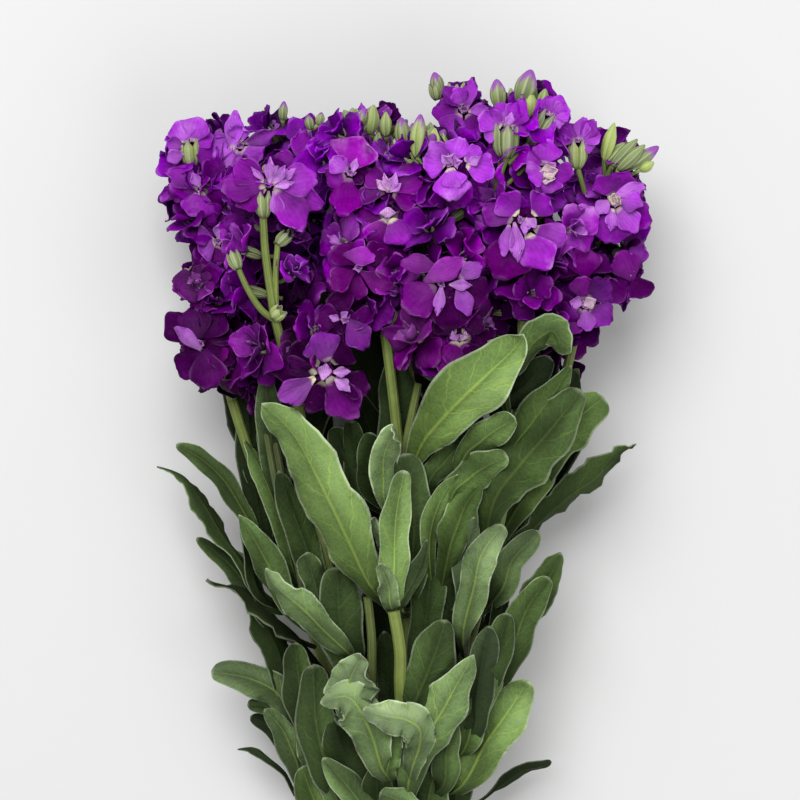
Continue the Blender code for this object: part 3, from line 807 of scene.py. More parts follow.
def addFloret(bm, kind, centre, out, size, spin, rng, stem, shade=1.0):
    lightness, hue = floretTone(centre, rng)
    radius = floretPlan["radius"] * size
    loose = floretPlan["jitter"].get(kind, 1.0)
    hub = centre - out * radius * 0.16
    side, lift = sideAxes(out)
    axis = (stem.base, stem.axis)
    for ring, row in enumerate(floretKinds[kind]):
        count, length, width, rise, endRise, cup, fold, pale, throat, grid = row
        for k in range(count):
            turn = spin + math.tau * (k + 0.5 * ring) / count + rng.uniform(-0.22, 0.22) * loose
            low = math.radians(rise + rng.uniform(-12, 12) * loose)
            high = math.radians(endRise + rng.uniform(-20, 20) * loose)
            radial = turned(side, lift, turn)
            ahead = turned(radial, out, low)
            normal = turned(out, -radial, low)
            normal = Matrix.Rotation(rng.uniform(-0.30, 0.30) * loose, 3, ahead) @ normal
            petal = (
                length * radius * rng.uniform(0.86, 1.06),
                width * radius * rng.uniform(0.86, 1.08),
                high - low,
                cup * rng.uniform(-0.6, 1.6),
                fold * rng.uniform(0.4, 1.6),
                rng.uniform(-0.5, 0.5) * loose,
                grid,
            )
            # lightness carries painted light and shade, and shade paints hidden florets darker
            light = clamped((lightness + rng.uniform(-0.14, 0.14)) * shade)
            paler = clamped(pale * rng.uniform(0.5, 1.2))
            start = hub + out * 1.2 * mm * ring + radial * rng.uniform(0, 1.0) * mm
            addPetal(bm, start, ahead, normal, petal, (light, hue, paler, throat), rng.uniform(0, 90), axis)


def addLoosePetals(bm, stem, rng):
    # petals deep inside the head, which close it between the florets
    look = loosePetals
    for k in range(look["count"]):
        t = (k + rng.random()) / look["count"]
        turn = rng.uniform(0, math.tau)
        out = facing(stem, turn, t)
        if stem.name in look["openFront"] and out.z > 0.15 and t < 0.9:
            continue
        seat = stem.base.lerp(stem.coreTop, t) + out * rng.uniform(*look["seat"])
        outwards = out * rng.uniform(0.2, 0.9)
        ahead = (outwards + Vector([rng.uniform(-1, 1) for _ in range(3)]) * 0.9).normalized()
        normal = (out - ahead * ahead.dot(out)).normalized()
        size = rng.uniform(*look["size"])
        bend, fold, twist = rng.uniform(-0.9, 0.4), rng.uniform(0, 0.3), rng.uniform(-0.5, 0.5)
        petal = (size, size * 0.95, bend, 0.1, fold, twist, innerGrid)
        light, hue = floretTone(seat, rng)
        if not inClearPlace(seat + out * 8 * mm):
            # painted shade: these deep petals are darker than florets at the same place
            tone = (light * 0.8, hue, 0, 0)
            addPetal(bm, seat, ahead, normal, petal, tone, rng.uniform(0, 90), (stem.base, stem.axis))


loosePetals = {
    "count": 60,
    "seat": (4 * mm, 12 * mm),
    "size": (12 * mm, 17 * mm),
    "openFront": "e",
}


def addSepals(bm, foot, out, length, radius, spin, rng, light=None, yellow=0.35):
    # sepals that stand round the petals' claws as a ribbed tube with pointed ends: five where the photo
    # shows them, which gives their light, and else four
    across, lift = sideAxes(out)
    sides = 5 if light else 4
    for k in range(sides):
        part, sheet = newSheet(6, 8) if light else newSheet(4, 6)
        layer = toneLayer(part)
        middle = spin + math.tau * k / sides
        flare = rng.uniform(0.95, 1.25) if light else rng.uniform(0.9, 1.35)
        shine = light or rng.uniform(0.45, 0.75)
        for vert, u, v in sheet:
            width = 1 - smoothStep(0.70 if light else 0.55, 1.0, v) * 0.94
            angle = middle + u * width * math.pi / sides * 1.08
            swell = 0.45 + 0.55 * math.sin(min(v / 0.40, 1) * math.pi / 2)
            swell *= 1 - 0.22 * smoothStep(0.62, 1.0, v) * bool(light)
            swell += (flare - 1) * v**3 + 0.07 * (1 - abs(u)) - 0.12 * abs(u) ** 4
            sideways = turned(across, lift, angle)
            vert.co = foot + out * length * v + sideways * radius * swell
            vert.co.z = max(vert.co.z, petalShape["floor"])
            tip = smoothStep(0.80, 1.0, v)
            pale = (0.55 if light else 0.30) * (1 - abs(u))
            vert[layer] = (shine * (0.65 + 0.35 * v), yellow, pale, 0.5 * tip)
        addInto(bm, part)


def smoothRoute(points):
    # a smooth curve through the given points, in six steps from each to the next
    route = []
    for k in range(len(points) - 1):
        before, after = points[max(k - 1, 0)], points[min(k + 2, len(points) - 1)]
        a, d = points[k], points[k + 1]
        b, c = a + (d - before) / 6, d - (after - a) / 6
        route += [bezier(j / 6, a, b, c, d) for j in range(6)]
    return [*route, points[-1]]


def addRoute(bm, topRadius, footRadius, spots, rng):
    # a stem or stalk that shows, from the top down; low ones are darker, as painted shade
    route = smoothRoute([place(spot) for spot in spots])
    front = 0.25 + 0.75 * smoothStep(62 * mm, 94 * mm, place(spots[0]).z)
    tone = (rng.uniform(0.5, 0.7) * front, 0.3 + 0.55 * front, 0.05, 0.0)
    addTube(bm, route, tapered(topRadius * mm, footRadius * mm, len(route) - 1), 12, tone)


def addStalk(bm, start, foot, out, radius, rng):
    # a stalk that leaves the head's axis steeply and turns out to the floret
    reach = (foot - start).length
    bendPoint = start + (foot - start) * 0.5 - out * reach * 0.06
    points = []
    for k in range(7):
        t = k / 6
        points.append(start * (1 - t) ** 2 + bendPoint * 2 * t * (1 - t) + foot * t * t)
    radii = [radius] * 6 + [radius * 1.35]
    addTube(bm, points, radii, 8, (rng.uniform(0.5, 0.8), 0.75, 0.15, 0.0))


# Florets between those of the frame: head, centre, lean to the right and towards the flowers' tops in
# degrees, size and kind
extraFlorets = (
    ("b", (-48, 130, 44), 10, 40, 0.86, "messy"),
    ("a", (-86, 96, 58), 10, 20, 0.84, "messy"),
    ("c", (-28, 134, 48), -5, 35, 0.86, "open"),
    ("g", (-38, 118, 88), -15, 40, 0.84, "messy"),
    ("i", (44, 98, 90), -20, 10, 0.86, "messy"),
    ("i", (84, 84, 88), 30, 5, 0.94, "messy"),
    ("j", (96, 108, 70), -10, 35, 0.84, "messy"),
    ("d", (22, 128, 66), -10, 30, 0.84, "messy"),
    ("g", (0, 56, 92), 10, -5, 0.84, "messy"),
    ("e", (-50, 26, 88), 10, -5, 0.80, "messy"),
    ("j", (108, 66, 66), 30, 0, 0.80, "folded"),
    ("f", (-99, 57, 84), -10, 20, 0.66, "messy"),
)

# The florets that show in front, petal by petal in mm from the floret's centre: claw x, y, tip x, y, z,
# width, roll and bend in degrees, fold, and then lightness, which paints the light and shade on the petal,
# redness, paleness and throat
portraitFlorets = (
    ("e", (-37.5, 14.5, 106), (  # low floret with the cream throat
        (3, 4, -3, 18, 1, 19.5, 0, -20, -0.3, 0.8, 0.35, 0.12, 0.3),
        (-3.5, -3.5, -22.5, -14, -2, 13.5, -20, 10, 0.7, 0.9, 0.45, 0.28, 1),
        (-2.5, -0.5, -24.5, -0.5, -6, 17, 0, -20, 0, 0.34, 0.9, 0, 0.6),
        (-1.5, 2.5, -17.5, 10.5, -6, 16, 0, -20, 0.1, 0.22, 0.9, 0, 0.3),
        (3, -3.5, 16, -25, -1, 20.5, 0, 40, 0.1, 0.72, 0.8, 0.02, 0.4),
        (0.5, -5.5, -6.5, -20, -6, 13.5, 0, -10, 0.2, 0.32, 0.9, 0, 0.2),
        (6.5, -3.5, 23, -10.5, -5, 14, 0, -20, 0.1, 0.4, 0.85, 0, 0.2),
        (5, 3, 13.5, 13, -6, 16, 0, -20, 0, 0.34, 0.9, 0, 0.3),
        (0, -5, 2.5, 4, 4, 7, 0, 20, 0.1, 0.85, 0.2, 0.9, 0.4),
        (5, -1, 14.5, -1, 4, 5.5, 10, 10, 0.45, 0.85, 0.2, 0.8, 0.6),
        (6, -4.5, 14, -10.5, 3, 6.5, -10, 10, 0.45, 0.8, 0.2, 0.8, 0.5),
    )),
    ("e", (-64, 104, 106), (  # tall floret on the bare stalk
        (-1, 0, -23, 0, -2, 17.5, 0, -20, 0, 0.5, 0.6, 0.05, 0.9),
        (-2, 1, -16, 11, -1, 15, 0, -15, 0.1, 0.5, 0.55, 0.05, 0.5),
        (-1, -1.5, -16, -9, -4, 15, 0, -20, 0, 0.4, 0.65, 0, 0.5),
        (3, 1, 25, 3, -2, 18, 0, -25, 0, 0.66, 0.4, 0.18, 0.5),
        (3, -1.5, 27.5, -10, -4, 13.5, 15, -20, 0, 0.5, 0.5, 0.1, 0.3),
        (4, -2, 18, -22, -3, 16.5, 0, -20, 0.2, 0.6, 0.5, 0.1, 0.4),
        (3, -3, 6, -17, 1, 7, 0, 10, 0.3, 0.75, 0.35, 0.38, 0.3),
        (1, 0, 2, 14, 6, 6, 0, 20, 0.4, 0.85, 0.25, 0.72, 0.8),
        (2.5, 0, 9.5, 9.5, 6, 6, 0, 20, 0.4, 0.85, 0.25, 0.78, 0.8),
        (4, 0, 15, 8, 4, 5.5, 0, 10, 0.4, 0.8, 0.3, 0.6, 0.6),
        (3.5, -1, 13.5, 0.5, 5, 4.5, 0, 10, 0.4, 0.9, 0.2, 0.88, 0.8),
        (-1.5, 1.5, -8, 8.5, 4, 3, 0, 10, 0.4, 0.9, 0.2, 0.8, 0.9),
    )),
    ("b", (-79.5, 127, 64), (  # pale floret at the upper left
        (-1.5, -0.5, -18, -0.5, -2, 15, 0, -20, 0, 0.78, 0.2, 0.22, 0.6),
        (-1.5, -2, -14.5, -7.5, -3, 13.5, 0, -20, 0, 0.72, 0.25, 0.28, 0.5),
        (1.5, 1, 18, 7, 1, 8.5, 25, -20, 0.3, 0.45, 0.3, 0.1, 0.3),
        (1, -2, 11, -9, -1, 19, 0, -25, 0, 0.68, 0.3, 0.22, 0.5),
        (0, -3, 1, -14.5, -4, 14, 0, -20, 0, 0.62, 0.3, 0.2, 0.3),
        (0, 1.5, -0.5, 11, 4, 11.5, 0, 20, 0.2, 0.85, 0.15, 0.42, 0.6),
        (-4, -3, -2.5, 18, 2, 10, 0, 10, 0.4, 0.9, 0.15, 0.5, 0.8),
    )),
    ("b", (-50, 117, 56), (  # floret with the striped petal
        (0.5, 1.5, 1.5, 19.5, -1, 12.5, 0, -15, 0, 0.55, 0.45, 0.05, 0.3),
        (1.5, 1, 11.5, 10, 2, 9, 0, -10, 0.3, 0.8, 0.25, 0.42, 0.9),
        (-1.5, 0.5, -14, 5.5, -2, 11.5, 0, -20, 0, 0.48, 0.55, 0, 0.3),
        (2, -1, 15, -4.5, -3, 12, 0, -20, 0.1, 0.5, 0.5, 0.05, 0.3),
        (-2, -1, -12.5, -7, -4, 12, 0, -20, 0.1, 0.4, 0.6, 0, 0.3),
    )),
    ("a", (-98.5, 106, 66), (  # left floret that faces out
        (-1.5, 0.5, -18, 9, -2, 14, 0, -15, 0.2, 0.52, 0.45, 0.1, 0.4),
        (-2, -1, -19.5, -2, -4, 13, 0, -20, 0.1, 0.42, 0.55, 0.05, 0.3),
        (-0.5, -2, -3.5, -16.5, -1, 18, 0, -25, 0, 0.66, 0.5, 0.08, 0.6),
        (1.5, 1, 9.5, 14, -1, 16, 20, -15, 0.3, 0.34, 0.55, 0, 0.2),
        (2, -1, 12.5, -8.5, -4, 15, 0, -20, 0.1, 0.36, 0.6, 0, 0.2),
        (-1, 0, -5, 7, 3, 5.5, 0, 10, 0.4, 0.8, 0.25, 0.55, 0.9),
    )),
    ("a", (-91, 79, 64), (  # floret under it
        (-1, 0, -11, -2, 1, 18, 0, -25, 0.1, 0.72, 0.35, 0.18, 0.7),
        (2, -0.5, 16, -2, 0, 18.5, 0, -30, 0, 0.7, 0.9, 0.02, 0.3),
        (0.5, 1, 2, 10, 4, 6.5, 0, 10, 0.2, 0.9, 0.2, 0.62, 0.8),
        (-0.5, -2, -1, -16.5, -3, 17, 0, -20, 0.1, 0.55, 0.85, 0, 0.3),
        (1, 2, -3, 15, -4, 13, 0, -10, 0.2, 0.42, 0.6, 0, 0.2),
    )),
    ("a", (-97.5, 27.5, 86), (  # dark floret at the lower left
        (0.5, -3.5, -13.5, 8.5, 3, 8, 20, -20, 0.35, 0.85, 0.35, 0.32, 0.2),
        (-0.5, 2.5, -4.5, 19.5, -1, 18, 0, -30, 0.1, 0.42, 0.8, 0.03, 0),
        (1, 2.5, 10.5, 16.5, -2, 16, 0, -30, 0.1, 0.36, 0.85, 0, 0),
        (-2.5, 0.5, -18, 14.5, -4, 16, 0, -30, 0, 0.38, 0.8, 0, 0),
        (-1, -2.5, -9.5, -16.5, -2, 17, 0, -30, 0.1, 0.46, 0.85, 0, 0),
        (1.5, -2.5, 4.5, -22.5, -1, 18, 0, -30, 0.2, 0.52, 0.85, 0.02, 0),
        (2.5, -1, 16.5, -8.5, -3, 16, 0, -30, 0.1, 0.4, 0.9, 0, 0),
        (3, 1.5, 15.5, 7.5, -3, 14, 0, -30, 0.1, 0.34, 0.9, 0, 0),
    )),
    ("g", (-24, 110, 102), (  # broad magenta petal
        (0.5, 2, 5.5, 18, 1, 25, 0, -35, 0, 0.84, 0.8, 0.04, 0.1),
        (-1.5, 1, -9.5, 7, 1, 12, 0, -15, 0.1, 0.75, 0.3, 0.32, 0.3),
        (-0.5, -2.5, -4, -22, -1, 17, 0, -25, 0, 0.5, 0.8, 0, 0.2),
        (-2.5, -1, -12.5, -6, -3, 14, 0, -20, 0.1, 0.5, 0.6, 0.05, 0.2),
        (1, 0, 3, 7, 4, 4, 0, 10, 0.4, 0.9, 0.3, 0.85, 0.8),
    )),
    ("g", (-5.5, 102, 100), (  # small upright petals
        (2, 0, 17.5, 9, -2, 17, 0, -25, 0.1, 0.55, 0.75, 0.05, 0.2),
        (2, -2, 14.5, -6, -4, 15, 0, -25, 0.1, 0.48, 0.8, 0, 0.2),
        (-2, -1.5, -18, -6, -1, 10, 30, -20, 0.3, 0.4, 0.7, 0.05, 0.1),
        (-1.5, 1.5, -11.5, 9, -2, 12, 0, -20, 0.2, 0.48, 0.7, 0.05, 0.2),
        (-0.5, -0.5, -6.5, 4.5, 5, 4.5, 0, 10, 0.4, 0.95, 0.3, 0.95, 1.3),
        (0, -0.5, -2.5, 7.5, 6, 4.5, 0, 10, 0.4, 0.95, 0.3, 0.9, 1.2),
        (0.5, -0.5, 3.5, 8, 6, 5, 0, 10, 0.4, 0.95, 0.3, 0.9, 0.9),
        (1, -1, 6.5, 3, 4, 4, 0, 10, 0.4, 0.9, 0.3, 0.8, 0.9),
    )),
    ("g", (-6, 89.5, 98), (  # round petal that hangs
        (1.5, -1.5, 9.5, -14.5, 0, 18, 0, -20, 0, 0.72, 0.5, 0.1, 0.9),
        (-1, -1.5, -8.5, -15, -3, 14.5, 0, -20, 0.1, 0.58, 0.8, 0, 0.6),
        (-2, 1, -14, -3.5, -4, 13, 0, -20, 0.1, 0.4, 0.8, 0, 0.2),
        (3, 0.5, 18, -2.5, -5, 14, 0, -20, 0.1, 0.3, 0.8, 0, 0.2),
        (0, -1, 0, 4, 3, 8, 0, 20, 0.3, 0.9, 0.3, 0.85, 1.2),
    )),
    ("h", (24.5, 114.5, 108), (  # bright lilac floret
        (1.5, 1.5, 5, 12.5, 1, 13.5, 0, -20, 0, 0.92, 0.12, 0.3, 0.5),
        (-2, 0, -15, -0.5, 0, 15, 0, -20, 0, 0.92, 0.15, 0.32, 0.9),
        (-1, 2, -10.5, 9.5, -1, 11, 0, -15, 0.1, 0.8, 0.2, 0.25, 0.6),
        (0, -2.5, 1, -19.5, 0, 18.5, 0, -25, 0, 0.96, 0.2, 0.26, 0.8),
        (0, -3.5, 3, -14, 3, 13, 0, -35, 0.1, 0.98, 0.15, 0.36, 0.4),
        (7.5, -1, 22.5, -5.5, 0, 16, 0, -20, 0, 0.92, 0.18, 0.26, 0.9),
        (6.5, 1, 15.5, 5.5, 0, 10, 0, -15, 0.1, 0.8, 0.2, 0.3, 0.6),
        (0, -0.5, -4.5, 4, 5, 6, 0, 25, 0.3, 0.98, 0.2, 0.95, 0.9),
        (1, -1, 1.5, 4.5, 6, 6, 0, 25, 0.2, 0.98, 0.2, 0.95, 0.6),
        (1.5, -1.5, 5, 0.5, 6, 6, 0, 25, 0.2, 0.98, 0.2, 0.95, 0.5),
        (8, -1, 14, 2.5, 5, 5, 0, 20, 0.3, 0.98, 0.2, 0.92, 0.8),
    )),
    ("i", (58, 86.5, 110), (  # wide open floret
        (-1.5, 2.5, -10, 12, 0, 15.5, 0, -20, 0.1, 0.66, 0.35, 0.08, 1),
        (6, 2.5, 15, 12, 0, 15.5, 0, -20, 0.1, 0.6, 0.35, 0.05, 1),
        (6.5, -3.5, 23.5, -11.5, -2, 14.5, 0, -20, 0.1, 0.66, 0.4, 0.1, 0.6),
        (3.5, -6.5, 12.5, -25, 1, 19.5, 0, -20, 0, 0.88, 0.42, 0.12, 1),
        (-3, -1, -1, -21, 3, 7.5, 0, -10, 0.4, 0.85, 0.3, 0.36, 0.4),
        (-5.5, -2, -7.5, -17.5, 1, 8.5, 15, -10, 0.3, 0.75, 0.35, 0.25, 0.3),
        (-2, -4, -9.5, -30, -7, 25, 0, -30, 0, 0.42, 0.9, 0, 0),
        (-4, -0.5, -17, 6.5, -4, 15, 0, -20, 0.1, 0.5, 0.6, 0.05, 0.3),
        (2.5, 1, 7.5, -4.5, 5, 5.5, 0, 15, 0.3, 0.9, 0.25, 0.8, 0.9),
        (2.5, 0, 1.5, -7.5, 5, 5, 0, 15, 0.3, 0.9, 0.25, 0.62, 0.9),
    )),
    ("i", (70.5, 111.5, 104), (  # opening floret with the cream heart
        (0, 2.5, 1.5, 15, 1, 14.5, 0, -15, 0.1, 0.68, 0.3, 0.12, 0.3),
        (-1.5, -0.5, -9, -3.5, 1, 13.5, 0, -20, 0.4, 0.74, 0.25, 0.22, 0.2),
        (2.5, -0.5, 12, -3.5, -1, 13, 0, -25, 0.2, 0.56, 0.4, 0.08, 0.2),
        (1, -3, 2, -12.5, -1, 13.5, 0, -25, 0.1, 0.6, 0.4, 0.12, 0.2),
        (-0.5, 2.5, -7.5, 9.5, -2, 12, 0, -15, 0.1, 0.56, 0.4, 0.05, 0.2),
        (-3.5, -2, 5.5, -0.5, 6, 8, 10, 60, 0.3, 0.95, 0.2, 0.5, 1.75),
        (-3, -4.5, 4.5, -4.5, 4, 7, -15, 60, 0.3, 0.9, 0.2, 0.5, 1.6),
        (-1, -1, 4.5, 3.5, 5, 6.5, 0, 60, 0.3, 0.85, 0.25, 0.6, 1.15),
    )),
    ("j", (105.5, 97, 84), (  # double floret at the right
        (-0.5, 3, 15, 8.5, 1, 8, 0, -15, 0.3, 0.88, 0.25, 0.42, 0.3),
        (2, 0.5, 14, -1.5, 2, 11, 0, -20, 0.1, 0.82, 0.25, 0.34, 0.4),
        (1.5, -2.5, 11, -15.5, 1, 13.5, 0, -20, 0.1, 0.8, 0.3, 0.32, 0.4),
        (-1, -3, -3, -15, 1, 7, 0, -10, 0.3, 0.85, 0.25, 0.4, 0.8),
        (-2.5, 1, -10, -6.5, 2, 8, 0, -10, 0.3, 0.85, 0.2, 0.42, 0.3),
        (-1.5, 3, -7, 14, -2, 15.5, 0, -20, 0.1, 0.5, 0.45, 0.05, 0.2),
        (-0.5, -3, -2.5, -21, -5, 21, 0, -25, 0, 0.62, 0.4, 0.08, 0.2),
        (3, -1, 18.5, -11, -4, 16, 0, -25, 0, 0.5, 0.45, 0, 0.2),
        (0.5, 3, 8.5, 14, -4, 17, 0, -25, 0, 0.5, 0.4, 0.05, 0.2),
        (-1, -1.5, 0, 4, 6, 6, 0, 50, 0.2, 0.98, 0.2, 0.8, 1.9),
        (0.5, -1.5, 2, 2.5, 6, 5.5, 0, 50, 0.2, 0.98, 0.2, 0.8, 1.7),
    )),
    ("j", (90.5, 46.5, 86), (  # floret over the right leaves
        (-0.5, 2.5, -1.5, 14, 0, 12.5, 0, -20, 0, 0.74, 0.85, 0.02, 0.2),
        (2, 2.5, 13, 11.5, 0, 15, 0, -15, 0.25, 0.48, 0.25, 0.05, 0.3),
        (2.5, -1, 13.5, -8.5, 1, 15, 0, -20, 0, 0.8, 0.35, 0.12, 0.4),
        (-2, 0, -19, -2.5, -5, 19, 0, -30, 0, 0.44, 0.9, 0, 0),
        (-1.5, -2, -10.5, -14.5, -2, 14, 0, -20, 0.1, 0.66, 0.7, 0.05, 0.2),
        (0, -2, 2, -13.5, 2, 9.5, 0, -20, 0.1, 0.8, 0.3, 0.36, 0.2),
        (-1, 0.5, -7.5, 2, 4, 7, 0, 10, 0.3, 0.85, 0.25, 0.45, 0.3),
        (-0.5, 0, 5.5, 2.5, 4, 6, 0, 15, 0.3, 0.95, 0.3, 0.8, 1.4),
    )),
    ("h", (19.5, 56, 112), (  # big folded magenta petal
        (-8, 0.5, 12.5, 12.5, 3, 12.5, 0, -40, 0, 0.96, 0.78, 0.16, 0),
        (-1, 7, -19, 10, -1, 11, 20, -30, 0.1, 0.66, 0.8, 0.08, 0.2),
        (-2.5, -1, -18, -12.5, -2, 19.5, 0, -30, 0, 0.68, 0.8, 0.03, 0.1),
        (0.5, -1, -1.5, -16.5, 2, 6, 0, -10, 0.4, 0.85, 0.3, 0.45, 0.2),
        (8, -1, 13.5, -15.5, 1, 9.5, 0, -20, 0.2, 0.82, 0.3, 0.3, 0.2),
        (9, 2, 20, 10, 1, 10, 0, -20, 0.2, 0.8, 0.3, 0.3, 0.3),
        (4, -0.5, 15.5, -1.5, 3, 5.5, 0, 10, 0.3, 0.88, 0.25, 0.5, 0.3),
        (5.5, -3.5, 4.5, -23.5, -6, 20, 0, -30, 0, 0.34, 0.9, 0, 0),
        (10.5, -2, 23.5, -6, -6, 17, 0, -30, 0, 0.36, 0.9, 0, 0),
    )),
    ("h", (28.5, 30, 108), (  # low floret with two bright petals
        (-1.5, -1.5, -8, -19.5, 0, 17.5, 0, -30, 0, 0.8, 0.97, 0, 0.6),
        (1, -2, 8, -15, -2, 15, 0, -30, 0, 0.52, 0.97, 0, 0.5),
        (-2, 1.5, -10.5, 11, -4, 15, 0, -20, 0.1, 0.34, 0.9, 0, 0.3),
        (2, 1.5, 10.5, 11, -4, 15, 0, -20, 0.1, 0.34, 0.9, 0, 0.3),
        (3, -0.5, 18.5, -5, -6, 15, 0, -20, 0.1, 0.36, 0.95, 0, 0.3),
        (-1, -1.5, -3.5, 3.5, 4, 4.5, 0, 10, 0.3, 0.85, 0.4, 0.7, 0.9),
        (1, -1.5, 3, 3, 4, 4, 0, 10, 0.3, 0.85, 0.4, 0.75, 1.2),
    )),
    ("g", (-27, 39, 98), (  # floret beside the middle stem
        (2, 0, 11.5, -14, 1, 14.5, 0, -25, 0, 0.72, 0.5, 0.1, 0),
        (3, 1, 15, 0, -2, 13, 0, -25, 0.1, 0.52, 0.8, 0, 0),
        (-2, 0, -14, 2, -1, 15, 0, -25, 0.1, 0.5, 0.85, 0, 0),
        (-1.5, -2.5, -10, -14, -4, 15, 0, -25, 0.1, 0.36, 0.9, 0, 0),
        (0.5, 3, -3, 16, -3, 15, 0, -25, 0.1, 0.46, 0.9, 0, 0),
        (-2.5, 0, -7.5, 2, 4, 4, 0, 10, 0.4, 0.85, 0.2, 0.7, 0.2),
        (-1.5, 1, 2, 4, 4, 4, 0, 10, 0.4, 0.85, 0.2, 0.65, 0.2),
    )),
    ("g", (-20, 64, 103), (  # folded red-purple floret
        (-7.5, 6.5, 8.5, 4.5, 2, 9.5, 0, -30, 0, 0.88, 0.72, 0.14, 0),
        (1, -2, 18.5, -10, -1, 11, 20, -30, 0.2, 0.6, 0.98, 0.04, 0),
        (-2, -2, -15, -9, -2, 13, 10, -30, 0.2, 0.56, 0.98, 0, 0),
        (-1, 2, -13, 10, -3, 13, 0, -30, 0.2, 0.46, 0.95, 0, 0),
        (2, 2, 14, 11, -4, 14, 0, -30, 0.1, 0.36, 0.9, 0, 0),
        (0, -4, -2, -15.5, -2, 13, 0, -30, 0.2, 0.5, 0.98, 0, 0),
    )),
    ("j", (91.5, 64, 80), (  # fan of a broad petal
        (0, -4, -1.5, 11.5, 2, 18, 0, -30, 0, 0.72, 0.88, 0, 0),
        (-2.5, -1.5, -13.5, 5, -3, 14, 0, -25, 0.1, 0.4, 0.8, 0, 0),
        (2.5, -1, 11.5, 8, -4, 14, 0, -25, 0.1, 0.36, 0.8, 0, 0),
    )),
    ("j", (114, 64, 74), (  # broad petal at the right rim
        (1, -5, -6, 10, 1, 16, 0, -20, 0.2, 0.62, 0.8, 0.05, 0),
        (2.5, 2, 6, 14.5, -1, 11, 0, -20, 0.1, 0.6, 0.4, 0.12, 0),
        (2, -3, 7, -14, -3, 14, 0, -20, 0.1, 0.4, 0.8, 0, 0),
        (-2, -4, -12, -14, -3, 14, 0, -20, 0.1, 0.44, 0.8, 0, 0),
    )),
)

